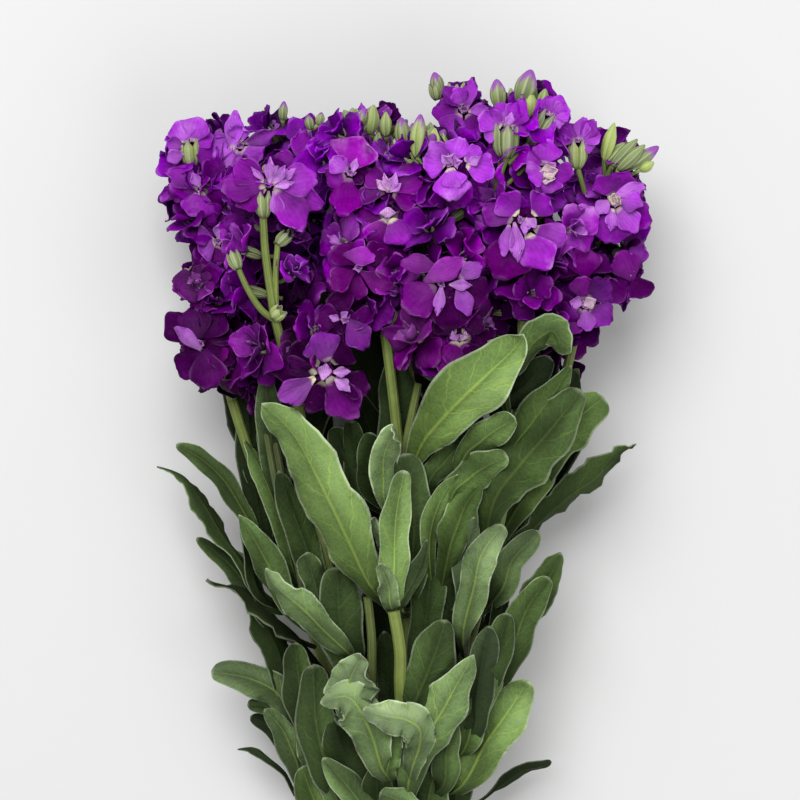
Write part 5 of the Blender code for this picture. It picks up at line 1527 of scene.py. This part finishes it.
# Leaves that show in front, one by one: stem, height of the root, width, roll at the foot and tip in degrees,
# (fold, ruffle, curl, how pointed), (lightness, which paints light and shade, yellowness, paleness), and the
# places that the midrib passes
shownLeaves = (
    ("g", -109, 27, (-8, -16), (0.18, 0.10, 0.4, 0.75), (0.55, 0.75, 0.14), (  # big leaf in front
        (-13, -92, 90), (-24, -69, 94), (-36, -44, 96), (-50, -18, 98), (-66, 0, 101))),
    ("f", -100, 14, (20, 10), (0.1, 0.03, 0, 0.8), (0.2, 0.35, 0.1), (  # dark upright leaves at the left
        (-66, -81, 45), (-74, -40, 51), (-77, 0, 56), (-78, 30, 62))),
    ("f", -90, 10, (0, 0), (0.1, 0.03, 0, 0.8), (0.14, 0.35, 0), (
        (-67, -61, 45), (-70, -25, 50), (-69, 0, 55), (-68, 25, 60))),
    ("f", -108, 11, (10, 40), (0.1, 0.06, 0, 0.9), (0.46, 0.5, 0.05), (
        (-53, -87, 62), (-59, -65, 63), (-66, -45, 64), (-72, -31, 65), (-78, -20, 66))),
    ("f", -90, 9, (0, 0), (0.1, 0.02, 0, 0.5), (0.32, 0.2, 0.15), (
        (-60, -55, 62), (-64, -34, 65), (-70, -15, 68))),
    ("a", -70, 6.5, (50, 50), (0.1, 0.02, 0, 0.8), (0.2, 0.3, 0), (
        (-75, -41, 50), (-78, -29, 50), (-83, -17, 50))),
    ("a", -88, 10.5, (30, -10), (0.15, 0.08, 0.3, 0.5), (0.48, 0.42, 0.1), (  # left strays
        (-69, -73, 52), (-79, -56, 53), (-88, -41, 54), (-99, -30, 55), (-112, -22, 56))),
    ("f", -108, 11, (45, 58), (0.15, 0.09, 0, 0.9), (0.42, 0.45, 0.1), (
        (-68, -105, 48), (-81, -83, 47), (-93, -66, 46), (-101, -53, 46), (-110, -40, 45), (-123, -34, 44))),
    ("a", -128, 9.5, (40, 15), (0.1, 0.04, 0.2, 0.5), (0.42, 0.4, 0.05), (
        (-67, -114, 44), (-77, -96, 45), (-88, -82, 45), (-103, -70, 46))),
    ("a", -110, 10, (0, 20), (0.1, 0.05, 0, 0.7), (0.5, 0.25, 0.5), (
        (-70, -101, 40), (-77, -87, 41), (-87, -76, 42))),
    ("e", -128, 16, (-5, -12), (0.14, 0.05, 0, 0.95), (0.48, 0.42, 0.08), (  # left middle
        (-52, -106, 66), (-62, -87, 67), (-71, -71, 67), (-80, -57, 68))),
    ("a", -112, 9, (60, 60), (0.1, 0.02, 0, 0.8), (0.2, 0.3, 0), (
        (-70, -100, 50), (-76, -83, 51), (-80, -64, 52))),
    ("e", -130, 16, (10, 10), (0.1, 0.03, 0, 0.8), (0.28, 0.35, 0), (
        (-39, -94, 74), (-47, -72, 75), (-54, -53, 77), (-60, -35, 78))),
    ("e", -132, 13, (0, 20), (0.1, 0.14, 0.3, 0.5), (0.33, 0.35, 0.1), (
        (-38, -105, 78), (-42, -91, 80), (-47, -75, 82))),
    ("e", -150, 23, (5, 5), (0.12, 0.02, 0, 0.5), (0.28, 0.35, 0.05), (
        (-26, -129, 72), (-30, -106, 78), (-31, -82, 84))),
    ("g", -109, 10, (-20, 20), (0.1, 0.15, 0.6, 0.8), (0.55, 0.3, 0.5), (  # beside the big leaf's foot
        (-4, -101, 92), (-6, -90, 98), (-11, -78, 104))),
    ("g", -80, 5.5, (0, 0), (0.1, 0.15, 0.5, 0.5), (0.5, 0.4, 0.5), (
        (-7, -75, 84), (-10, -66, 88), (-14, -57, 92))),
    ("g", -109, 15, (5, 5), (0.15, 0.02, 0, 0.45), (0.7, 0.6, 0.1), (  # middle leaf
        (-3, -101, 90), (-3, -80, 94), (-2, -56, 99), (2, -34, 103))),
    ("g", -104, 21, (-5, -5), (0.05, 0.02, 0, 0.5), (0.3, 0.35, 0.1), (
        (4, -94, 80), (7, -69, 85), (6, -46, 89), (2, -26, 94))),
    ("g", -66, 14, (10, -15), (-0.2, 0.14, 0.8, 0.6), (0.66, 0.35, 0.45), (  # pale curled leaf
        (-7, -51, 86), (-8, -39, 90), (-8, -27, 94), (-4, -18, 97), (0, -14, 101))),
    # leaves under the flowers, dark as painted shade
    ("g", -60, 13, (0, 0), (0.1, 0.02, 0, 0.5), (0.2, 0.35, 0), (  # dark ones under the flowers
        (-14, -45, 76), (-15, -30, 82), (-14, -16, 88))),
    ("e", -52, 14, (0, 0), (0.1, 0.02, 0, 0.5), (0.2, 0.3, 0), (
        (-24, -44, 74), (-28, -27, 77), (-32, -13, 80))),
    ("g", -60, 14, (0, 0), (0.1, 0.02, 0, 0.5), (0.24, 0.3, 0), (
        (-17, -47, 72), (-21, -30, 77), (-24, -10, 82))),
    ("g", -50, 21, (0, 0), (0.15, 0.03, 0, 0.8), (0.22, 0.35, 0.05), (
        (-2, -35, 64), (-1, -15, 67), (-1, 5, 69), (-4, 23, 72))),
    ("g", -45, 31, (12, 0), (0.18, 0.07, 0.5, 1.0), (0.66, 0.72, 0.04), (  # big right leaf
        (10, -22, 97), (17, -12, 103), (29, 1, 109), (42, 13, 113), (54, 24, 116), (60, 33, 119))),
    ("h", -20, 15, (-10, -10), (0.1, 0.02, 0, 0.5), (0.3, 0.3, 0.15), (  # behind it
        (19, 0, 98), (36, 15, 102), (52, 28, 107))),
    ("i", -20, 16, (10, 30), (0.15, 0.1, -0.7, 0.45), (0.42, 0.4, 0.1), (  # rolled tip
        (50, 8, 98), (58, 20, 103), (65, 30, 107), (73, 34, 111), (77, 29, 114), (76, 23, 115))),
    ("i", -30, 17, (0, 0), (0.1, 0.02, 0, 0.5), (0.1, 0.2, 0.1), ((49, -4, 86), (61, 7, 91), (73, 21, 96))),
    ("i", -60, 17, (15, 15), (0.2, 0.03, 0, 0.85), (0.38, 0.5, 0), (
        (53, -27, 88), (63, -11, 91), (73, 2, 95), (83, 17, 98))),
    ("i", -100, 29, (5, 5), (0.35, 0.05, 0, 0.6), (0.36, 0.42, 0.05), (  # broad folded leaf
        (44, -54, 86), (56, -34, 89), (71, -16, 93), (88, 5, 96))),
    ("j", -60, 23, (-5, -5), (0.1, 0.02, -0.3, 0.4), (0.55, 0.6, 0.05), (
        (74, -27, 74), (85, -12, 77), (100, 1, 80))),
    ("h", -62, 16, (5, 5), (0.1, 0.03, 0, 0.5), (0.48, 0.45, 0.05), (
        (30, -30, 94), (39, -20, 97), (47, -14, 99), (56, -9, 102))),
    ("h", -85, 17, (10, 10), (0.15, 0.08, 0, 0.45), (0.48, 0.42, 0.05), (
        (24, -49, 92), (33, -38, 95), (41, -32, 97), (52, -27, 100))),
    ("h", -110, 11, (15, 15), (0.15, 0.04, 0, 0.9), (0.46, 0.55, 0.05), (
        (14, -78, 88), (15, -61, 91), (20, -47, 95), (28, -36, 98))),
    ("h", -60, 14, (0, 0), (0.1, 0.02, 0, 0.8), (0.33, 0.35, 0.05), (
        (14, -42, 88), (22, -30, 90), (29, -22, 91), (36, -15, 93))),
    ("h", -120, 18, (0, 0), (0.2, 0.03, 0, 0.9), (0.4, 0.5, 0), (
        (23, -78, 88), (27, -64, 91), (32, -51, 93), (40, -40, 96))),
    ("h", -125, 14, (10, 10), (0.1, 0.03, 0, 0.8), (0.38, 0.1, 0.4), (
        (32, -98, 84), (32, -76, 88), (36, -57, 92))),
    ("i", -130, 16, (0, -10), (0.3, 0.13, -0.5, 0.5), (0.60, 0.4, 0.45), (  # pale leaf at the right
        (31, -113, 86), (36, -92, 92), (40, -75, 97), (50, -61, 98))),
    ("i", -110, 16, (10, 10), (0.2, 0.04, 0, 0.7), (0.48, 0.3, 0.3), (
        (50, -94, 70), (55, -79, 73), (69, -65, 76))),
    ("j", -118, 17, (35, 50), (0.25, 0.08, 0, 0.9), (0.38, 0.45, 0.05), (  # right stray
        (50, -83, 52), (65, -64, 54), (80, -49, 55), (96, -37, 57), (109, -26, 58), (118, -22, 60))),
    ("i", -80, 16, (0, 0), (0.1, 0.06, 0, 0.45), (0.36, 0.75, 0), (
        (56, -57, 66), (64, -46, 68), (75, -34, 70))),
    ("i", -165, 17, (20, 20), (0.15, 0.06, 0, 0.7), (0.42, 0.6, 0.05), (  # right edge
        (58, -120, 60), (65, -105, 61), (72, -91, 63), (80, -76, 64))),
    ("i", -175, 17, (0, 0), (0.12, 0.05, 0, 0.5), (0.38, 0.5, 0.05), (
        (47, -142, 68), (56, -122, 70), (63, -103, 72), (74, -88, 74))),
    ("i", -175, 16, (0, 0), (0.12, 0.02, 0, 0.5), (0.3, 0.45, 0.05), (
        (41, -143, 74), (47, -126, 77), (53, -105, 80))),
    ("i", -160, 10, (30, 30), (0.1, 0.03, 0, 0.8), (0.16, 0.3, 0), (
        (45, -125, 62), (49, -105, 63), (52, -85, 65), (51, -74, 66))),
    ("h", -178, 22, (0, 0), (0.35, 0.02, 0, 0.7), (0.34, 0.38, 0.08), (  # smooth oval
        (6, -154, 80), (12, -137, 85), (18, -121, 90), (22, -107, 95))),
    ("h", -185, 16, (-10, -10), (0.1, 0.02, 0.4, 0.7), (0.26, 0.1, 0.25), (
        (35, -166, 72), (38, -148, 76), (41, -128, 80), (45, -110, 84))),
    ("h", -215, 23, (0, 0), (0.22, 0.03, 0, 0.9), (0.66, 0.35, 0.25), (  # broad front leaf
        (4, -190, 74), (10, -170, 80), (20, -153, 86), (28, -138, 92), (36, -124, 98))),
    ("h", -205, 14, (0, 0), (0.1, 0.02, 0, 0.8), (0.36, 0.35, 0.1), (
        (21, -192, 66), (23, -174, 71), (27, -157, 76))),
    ("i", -190, 14, (10, 10), (0.15, 0.05, 0, 0.5), (0.44, 0.5, 0.05), (
        (31, -174, 68), (37, -156, 73), (49, -136, 78))),
    ("i", -205, 24, (0, 0), (0.12, 0.05, 0.5, 0.6), (0.71, 0.6, 0.1), (  # right lower leaf
        (31, -192, 60), (42, -172, 63), (54, -154, 67), (64, -138, 70))),
    ("j", -225, 7.5, (60, 25), (0.1, 0.03, 0, 0.5), (0.3, 0.2, 0.2), (
        (42, -203, 34), (52, -195, 34), (62, -188, 35), (70, -186, 36), (77, -184, 36))),
    ("h", -240, 21, (0, 0), (0.15, 0.03, 0, 0.8), (0.4, 0.35, 0.1), (  # foot of the view
        (12, -216, 52), (15, -195, 60), (22, -173, 68))),
    ("i", -235, 16, (0, 0), (0.15, 0.03, 0, 0.8), (0.32, 0.3, 0.1), (
        (26, -210, 46), (29, -191, 52), (34, -174, 58))),
    ("h", -150, 17, (0, 0), (0.1, 0.02, 0, 0.7), (0.24, 0.4, 0), (  # dark ones in the middle
        (9, -148, 74), (12, -118, 77), (15, -84, 81), (18, -49, 84))),
    ("h", -120, 10, (0, 0), (0.1, 0.02, 0, 0.5), (0.16, 0.3, 0.05), (
        (24, -111, 76), (25, -94, 80), (26, -80, 84))),
    ("g", -108, 9, (20, 20), (0.2, 0.03, 0, 0.8), (0.3, 0.2, 0.2), (
        (-1, -103, 86), (4, -91, 89), (10, -79, 91), (13, -68, 94))),
    ("e", -128, 15, (20, -30), (0.25, 0.12, -0.8, 0.6), (0.54, 0.3, 0.35), (  # grey folded leaf
        (-26, -124, 84), (-37, -113, 86), (-47, -102, 88), (-56, -94, 91), (-67, -85, 93))),
    ("e", -150, 13, (0, 0), (0.15, 0.05, 0, 0.8), (0.33, 0.45, 0.05), (
        (-19, -146, 74), (-27, -129, 77), (-40, -112, 80))),
    ("a", -160, 16, (25, 25), (0.15, 0.06, 0, 0.85), (0.28, 0.45, 0), (  # left edge
        (-55, -152, 44), (-62, -129, 45), (-70, -111, 45), (-77, -96, 46))),
    ("f", -185, 18, (0, 0), (0.1, 0.03, 0, 0.7), (0.36, 0.42, 0.05), (
        (-38, -178, 54), (-48, -155, 57), (-51, -136, 59), (-52, -121, 62))),
    ("e", -195, 21, (0, 0), (0.1, 0.03, 0, 0.5), (0.38, 0.4, 0.1), (
        (-32, -190, 62), (-41, -164, 67), (-43, -131, 72))),
    ("a", -165, 17, (5, 5), (0.1, 0.03, 0, 0.45), (0.68, 0.32, 0.38), (
        (-51, -161, 46), (-63, -147, 47), (-77, -140, 49), (-95, -137, 50))),
    ("a", -185, 9.5, (0, 0), (0.1, 0.03, 0, 0.45), (0.42, 0.5, 0.1), (
        (-51, -180, 44), (-58, -163, 45), (-67, -155, 45), (-77, -154, 46))),
    ("a", -195, 8.5, (0, 0), (0.1, 0.03, 0, 0.5), (0.35, 0.25, 0.2), (
        (-51, -188, 36), (-60, -174, 37), (-68, -165, 37), (-76, -161, 38))),
    ("f", -200, 13, (10, 10), (0.15, 0.04, 0, 0.7), (0.54, 0.35, 0.25), (
        (-45, -196, 50), (-53, -180, 52), (-59, -166, 54), (-68, -155, 56))),
    ("f", -215, 10, (0, 0), (0.1, 0.18, 0, 0.7), (0.5, 0.4, 0.2), (
        (-35, -200, 58), (-43, -184, 60), (-47, -174, 62), (-50, -165, 64))),
    ("a", -215, 5, (60, 60), (0.1, 0.03, 0, 0.8), (0.4, 0.2, 0.3), (
        (-49, -207, 26), (-60, -191, 27), (-70, -183, 28), (-77, -179, 29), (-83, -179, 30))),
    ("f", -230, 17, (0, 0), (0.12, 0.03, 0, 0.45), (0.48, 0.65, 0.05), (
        (-34, -216, 56), (-43, -199, 59), (-49, -183, 62))),
    ("e", -232, 14, (0, 0), (0.12, 0.03, 0, 0.6), (0.42, 0.3, 0.2), (
        (-26, -215, 58), (-32, -198, 62), (-40, -182, 66))),
    ("e", -228, 15, (0, 0), (0.12, 0.04, 0, 0.7), (0.48, 0.35, 0.2), (
        (-11, -213, 66), (-24, -194, 70), (-38, -177, 74))),
    ("e", -195, 21, (0, 0), (0.1, 0.02, 0, 0.6), (0.22, 0.35, 0.05), (
        (-19, -197, 62), (-27, -178, 66), (-33, -158, 70))),
    ("g", -190, 18, (0, 0), (0.1, 0.03, 0, 0.6), (0.14, 0.35, 0), (
        (-14, -195, 60), (-17, -180, 63), (-24, -164, 66))),
    ("e", -178, 26, (-20, -20), (0.2, 0.16, 0.4, 0.9), (0.60, 0.15, 0.6), (  # ruffled pale ones
        (-24, -155, 84), (-24, -145, 87), (-22, -134, 90), (-17, -123, 93))),
    ("g", -200, 22, (0, 15), (0.1, 0.20, -0.6, 0.8), (0.66, 0.3, 0.5), (
        (-8, -182, 84), (-13, -167, 88), (-19, -153, 91), (-26, -145, 94), (-37, -146, 98))),
    ("g", -205, 18, (0, 10), (0.15, 0.22, -0.8, 0.6), (0.72, 0.25, 0.7), (
        (5, -184, 82), (9, -170, 89), (9, -160, 95), (2, -155, 99), (-8, -153, 101), (-17, -150, 102))),
    ("g", -200, 11, (0, 0), (0.1, 0.12, 0, 0.7), (0.44, 0.4, 0.15), (
        (-6, -185, 80), (-4, -172, 84), (-3, -161, 88))),
    ("g", -232, 16, (0, 0), (0.1, 0.02, 0, 0.4), (0.28, 0.35, 0.05), (
        (-10, -212, 64), (-11, -197, 69), (-12, -181, 74))),
    ("g", -245, 13, (0, 0), (0.1, 0.05, 0, 0.5), (0.56, 0.3, 0.3), (
        (14, -216, 68), (2, -200, 72), (-10, -194, 76))),
    ("g", -165, 12, (0, 0), (0.1, 0.02, 0, 0.7), (0.18, 0.4, 0), (
        (-5, -160, 60), (-6, -135, 63), (-8, -115, 66))),
    # dark leaves put in the gaps as painted shade
    ("c", -160, 28, (0, 0), (0.1, 0.03, 0, 0.6), (0.10, 0.4, 0), (  # dark ones that close the gaps
        (-4, -138, 42), (-7, -112, 46), (-8, -84, 48))),
    ("c", -30, 26, (0, 0), (0.1, 0.03, 0, 0.6), (0.08, 0.4, 0), (
        (-10, -12, 42), (-15, 10, 46), (-18, 36, 50))),
)

# Stems that show between the leaves: carrier, radius at the top and at the foot, route from the top down
shownStems = (
    ("g", 3, 3, ((-3, -103, 95), (0, -122, 92), (0, -139, 86), (1, -158, 76), (2, -190, 52))),
    ("e", 2.2, 2.4, ((-16, -97, 78), (-14, -118, 74), (-14, -138, 66), (-14, -160, 52))),
    ("f", 2, 2.2, (
        (-73, 19, 64), (-67, -4, 68), (-61, -26, 70), (-57, -50, 70), (-52, -74, 68), (-47, -103, 58))),
    ("f", 2.4, 2.6, ((-68, 24, 60), (-67, 0, 58), (-63, -24, 56), (-58, -50, 52))),
    ("g", 1.9, 2.1, ((9, 8, 82), (6, -6, 84), (3, -22, 82), (1, -40, 76), (2, -60, 66))),
    ("f", 1.5, 1.8, ((-74, 13, 70), (-67, -13, 72), (-61, -44, 73), (-51, -80, 72), (-46, -108, 60))),
    ("f", 1.7, 2.0, ((-63, 16, 62), (-59, -16, 64), (-56, -46, 64), (-50, -78, 60))),
    ("i", 0.5, 0.6, ((84, -29, 62), (80, -25, 64), (73, -22, 64))),
)


class Leaf:
    def __init__(self, stem, t, tip, width, roll, sideReach=math.inf):
        self.stem, self.tip, self.width, self.roll, self.sideReach = stem, tip, width, roll, sideReach
        self.root, self.grow = stem.at(t), stem.direction(t)

    def nudged(self, turn, lift):
        reach = self.tip - self.root
        aside = self.grow.cross(reach)
        if aside.length > 1e-6:
            reach = Matrix.Rotation(math.radians(lift), 3, aside) @ reach
        reach = Matrix.Rotation(math.radians(turn), 3, self.grow) @ reach
        tip = self.root + reach
        tip.z = max(tip.z, leafPlan["floor"])
        return tip

    def settle(self):
        # takes the nudge at which this leaf's tip is in the frame
        for turn, lift in leafPlan["nudges"]:
            tip = self.nudged(turn, lift)
            if abs(tip.x) <= self.sideReach and self.stem.leafPoints.find(tip)[2] < 3e-5:
                self.tip = tip
                return True
        return False

    def route(self):
        reach = self.tip - self.root
        aside = reach - self.grow * reach.dot(self.grow)
        bend = self.root + self.grow * reach.length * leafPlan["bend"] + aside * leafPlan["aside"]
        return [self.root.lerp(bend, k / 12).lerp(bend.lerp(self.tip, k / 12), k / 12) for k in range(13)]


def fillLeaves(stem):
    fill = leafPlan["fill"]
    for k in range(fill["count"]):
        step = k + 0.5 * draw(stem.index, k, 5)
        y = (fill["from"] + (fill["to"] - fill["from"]) * step / fill["count"]) * mm
        t = stem.atY(y)
        grow = stem.direction(t)
        across, lift = sideAxes(grow)
        turn = goldenAngle * k + 1.7 * stem.index
        sideways = turned(across, lift, turn)
        spread = math.radians(fill["spread"]) * (0.7 + 0.8 * draw(stem.index, k, 6))
        length = fill["length"] * (0.75 + 0.5 * draw(stem.index, k, 7))
        tip = stem.at(t) + turned(grow, sideways, spread) * length
        width = fill["width"] * (0.75 + 0.5 * draw(stem.index, k, 8))
        yield Leaf(stem, t, tip, width, math.degrees(turn) - 90, fill["reach"])


def leafShare(t, point):
    look = leafPlan
    if t < look["widestAt"]:
        swell = math.sin(math.pi / 2 * t / look["widestAt"]) ** 1.5
        return look["stalkShare"] + (1 - look["stalkShare"]) * swell
    past = min((t - look["widestAt"]) / (1 - look["widestAt"]), 1)
    return (1 - past ** (2.2 - 0.7 * smoothStep(0.7, 1.0, point))) ** point


def alongRoute(route, t):
    # the place and the direction at the share t of the route
    reach = t * (len(route) - 1)
    k = min(int(reach), len(route) - 2)
    before, after = route[max(k - 1, 0)], route[min(k + 2, len(route) - 1)]
    ahead = (route[k + 1] - before).lerp(after - route[k], reach - k).normalized()
    return route[k].lerp(route[k + 1], reach - k), ahead


def addLeaf(bm, route, width, rolls, form, tone, rng, grid=leafPlan["grid"]):
    look = leafPlan
    fold, ruffle, curl, point = form
    fold += math.copysign(look["extraFold"], fold) * rng.uniform(0.3, 1.3)
    part, sheet = newSheet(*grid)
    layer = toneLayer(part)
    phase = [rng.uniform(0, math.tau) for _ in range(4)]
    length = sum((b - a).length for a, b in zip(route, route[1:]))
    waves = length / (24 * mm) * rng.uniform(0.8, 1.3)
    paintedHalfLight = rng.choice((-1, 1)) * look["paintedHalfLight"]
    for vert, u, v in sheet:
        t = 1 - (1 - v) ** 1.35
        u = math.copysign(abs(u) ** 1.3, u)
        centre, ahead = alongRoute(route, t)
        across, lift = sideAxes(ahead)
        spin = Matrix.Rotation(math.radians(rolls[0] + (rolls[1] - rolls[0]) * t), 3, ahead)
        across, lift = spin @ across, spin @ lift
        share = leafShare(t, point)
        side = phase[0] if u < 0 else phase[1]
        taper = smoothStep(0.0, 0.55, share)
        edgeWave = math.sin(math.tau * 0.7 * waves * t + 2.3 * side)
        half = width / 2 * share * (1 + look["edge"] * taper * edgeWave)
        height = fold * half * (1 - abs(u)) ** 0.8
        height -= look["wave"] / 2 * width * taper * u * math.cos(math.pi * (t - 0.28) / 0.3 + phase[3])
        swing = math.sin(math.tau * waves * t + side) + 0.5 * math.sin(math.tau * 2.3 * waves * t + 2 * side)
        height += ruffle * width * abs(u) ** 2 * swing * smoothStep(0.1, 0.35, t) * taper
        height += 0.03 * width * math.sin(math.tau * 1.3 * t + 2 * u + phase[2])
        height += curl * width * 0.5 * smoothStep(0.80, 1.0, t) ** 2
        ribHeight = look["rib"] * (1.5 - t) * math.exp(-((u * half) / (0.8 * mm)) ** 2)
        pull = 1 - 0.12 * abs(curl) * smoothStep(0.85, 1.0, t)
        spot = centre + across * half * u * pull + lift * (height + ribHeight)
        spot.z = max(spot.z, 0.5 * look["floor"])
        vert.co = spot
        # painted shade: darker at the foot and low down, and one half lighter than the other
        light = tone[0] ** 1.2 * (0.48 + 0.56 * smoothStep(0.05, 0.6, t)) * (1 + paintedHalfLight * u)
        light *= 0.42 + 0.58 * smoothStep(look["lightFrom"], look["lightTo"], spot.z)
        # painted shade along the midrib's valley
        light *= 1.04 - 0.20 * math.exp(-(u / 0.30) ** 2)
        # painted light in soft uneven patches
        light *= 1 + look["unevenLight"] * randomly(3.2 * t, 1.1 * u, phase[0])
        # painted highlight: lit parts are also paler
        paler = tone[2] * (0.5 + 0.9 * t * t) + 0.22 * max(light, 0) ** 2
        vert[layer] = (light, tone[1] * (1.15 - 0.4 * t), paler, tone[3])
    addInto(bm, part)


def leafTone(leaf, rng):
    # painted shade: leaves near the front are lighter and low ones darker, as deep in the bunch;
    # front ones are also yellower, low ones greyer
    front = smoothStep(30 * mm, 110 * mm, leaf.tip.z)
    lightness = 0.06 + 0.22 * front + rng.uniform(-0.06, 0.08)
    hue = 0.25 + 0.30 * front + rng.uniform(-0.20, 0.20)
    return clamped(lightness), clamped(hue), rng.uniform(0.0, 0.25), rng.uniform(0.3, 0.8)


def leafForm(rng):
    curl = rng.choice((-1, -1, 0.3, 1)) * rng.uniform(0.2, 0.6)
    return leafPlan["fold"], rng.uniform(0.02, 0.08), curl, rng.uniform(0.5, 0.85)


def makeStems():
    shownTips = [place(row[-1][-1]) for row in shownLeaves] + [place(spot) for spot in leafPlan["notDrawn"]]
    total = 0
    for stem in stems:
        rng = random.Random("leaves " + stem.name)
        bm = newShape()
        planned = [Leaf(stem, stem.atY(y * mm), place(tip), width * mm, roll)
                   for y, tip, width, roll in rowsOf(placedLeaves, stem)]
        for leaf in [*planned, *fillLeaves(stem)]:
            placed = leaf.settle()
            shown = any((leaf.tip - tip).length < leafPlan["sameLeaf"] for tip in shownTips)
            high = leaf.sideReach < math.inf and leaf.tip.z > leafPlan["fillTop"]
            if placed and not shown and not high:
                total += 1
                twist = rng.uniform(-8, 8)
                rolls = (leaf.roll - twist, leaf.roll + twist)
                addLeaf(bm, leaf.route(), leaf.width, rolls, leafForm(rng), leafTone(leaf, rng), rng)
        for y, width, rolls, form, tone, spots in rowsOf(shownLeaves, stem):
            total += 1
            route = smoothRoute([stem.at(stem.atY(y * mm)), *map(place, spots)])
            tone = (*tone, smoothStep(0.15, 0.7, tone[0]))
            addLeaf(bm, route, width * mm, rolls, form, tone, rng, leafPlan["shownGrid"])
        finishPiece("leaves_" + stem.name, bm, [stockLeaf], "foliage", thickness=leafPlan["thickness"])
        bm = newShape()
        cutY = plan["cutEndY"] - 8 * mm * draw(stem.index, 1)
        cut = Vector((stem.slotX * plan["cutEndSpread"], cutY, stem.cutZ))
        below = Vector((stem.slotX, plan["tieY"] - plan["tieWidth"], stem.slotZ))
        route = [cut.lerp(below, k / 6) for k in range(6)] + [below]
        route += [stem.at(k / 48) for k in range(49)]
        part = newTube(route, tapered(plan["stemRadius"], plan["stemTopRadius"], len(route) - 1), 18)
        layer = toneLayer(part)
        for vert in part.verts:
            high = smoothStep(-300 * mm, 40 * mm, vert.co.y)
            vert[layer] = (0.35 + 0.3 * high, 0.45 + 0.35 * high, 0.05, 0.0)
        addInto(bm, part)
        for row in rowsOf(shownStems, stem):
            addRoute(bm, *row, rng)
        finishPiece("greenStem_" + stem.name, bm, [stemSkin], "foliage", "stem_" + stem.name)
    print("leaves:", total)


makeStems()


# The band round the stems, wound three times

bandPlan = {
    "turns": 3,
    "strand": 2.3 * mm,
    "pitch": 2.75 * mm,
    "colour": (0.50, 0.34, 0.17),
    "dark": (0.36, 0.23, 0.11),
    "relief": 0.0001,
    "segments": 120,
}


def bandMaterial():
    finish = newMaterial("bandRubber", 0.62, specular=0.4)
    wire = Wiring(finish.node_tree)
    patches = wire.ramp(wire.noise(300, 4), 0.35, 0.7)
    base = wire.mix(patches, bandPlan["colour"], bandPlan["dark"])
    wire.dress(base, wire.noise(1500, 2), bandPlan["relief"])
    return finish


def makeBand():
    centres = [Vector((stem.slotX, 0, stem.slotZ)) for stem in stems]
    thickness = plan["tieThickness"]
    middle = plan["stemRadius"] + plan["gap"] + thickness / 2
    bm = newShape()
    for turn in range(bandPlan["turns"]):
        shift = (turn - (bandPlan["turns"] - 1) / 2) * bandPlan["pitch"]
        part, sheet = newSheet(bandPlan["segments"], 10)
        for vert, u, v in sheet:
            angle = math.pi * u
            out = Vector((math.cos(angle), 0, math.sin(angle)))
            outer = max(centres, key=out.dot)
            section = math.tau * v
            wide = math.copysign(abs(math.cos(section)) ** 0.6, math.cos(section)) * bandPlan["strand"] / 2
            thick = math.copysign(abs(math.sin(section)) ** 0.6, math.sin(section)) * thickness / 2
            vert.co = outer + out * (middle + thick) + along * (plan["tieY"] + shift + wide)
        bmesh.ops.remove_doubles(part, verts=part.verts, dist=1e-6)
        bmesh.ops.recalc_face_normals(part, faces=part.faces)
        addInto(bm, part)
    finishPiece("rubberBand", bm, [bandMaterial()], "tie_band", "tie")


makeBand()
print("stems and band made")


# Floor, light and camera

studio = {
    "floorColour": (0.7, 0.705, 0.7),
    "viewHeight": 60 * mm,
    "viewWidth": 400 * mm,
    "cameraHeight": 1.40,
    "sensor": 36.0,
    "worldLight": 0.38,
    "lights": {  # power, place and size
        "key": (51.5, (-0.38, 1.00, 2.15), 1.5),
        "fill": (11.0, (0.95, -0.95, 1.50), 1.3),
    },
}


def makeStudio():
    bm = bmesh.new()
    bmesh.ops.create_grid(bm, x_segments=1, y_segments=1, size=6)
    mesh = bpy.data.meshes.new("floor")
    bm.to_mesh(mesh)
    bm.free()
    floor = newObject("floor", mesh)
    finish = newMaterial("paleFloor", 0.9, specular=0.2)
    finish.node_tree.nodes["Principled BSDF"].inputs["Base Color"].default_value = (*studio["floorColour"], 1)
    mesh.materials.append(finish)

    world = bpy.data.worlds.new("softLight")
    world.use_nodes = True
    world.node_tree.nodes["Background"].inputs[0].default_value = (1, 1, 1, 1)
    world.node_tree.nodes["Background"].inputs[1].default_value = studio["worldLight"]
    bpy.context.scene.world = world

    for name, (power, at, size) in studio["lights"].items():
        light = bpy.data.lights.new(name, "AREA")
        light.energy = power
        light.size = size
        lamp = newObject(name, light)
        lamp.location = planZero + Vector(at)
        aim = planZero + up * studio["viewHeight"] - lamp.location
        lamp.rotation_euler = aim.to_track_quat("-Z", "Y").to_euler()

    lens = bpy.data.cameras.new("camera")
    distance = studio["cameraHeight"] - studio["viewHeight"]
    lens.sensor_width = studio["sensor"]
    lens.lens = studio["sensor"] * distance / studio["viewWidth"]
    camera = newObject("camera", lens)
    camera.location = planZero + up * studio["cameraHeight"]
    bpy.context.scene.camera = camera
    bpy.context.scene.view_settings.view_transform = "Standard"


makeStudio()
print("studio made")
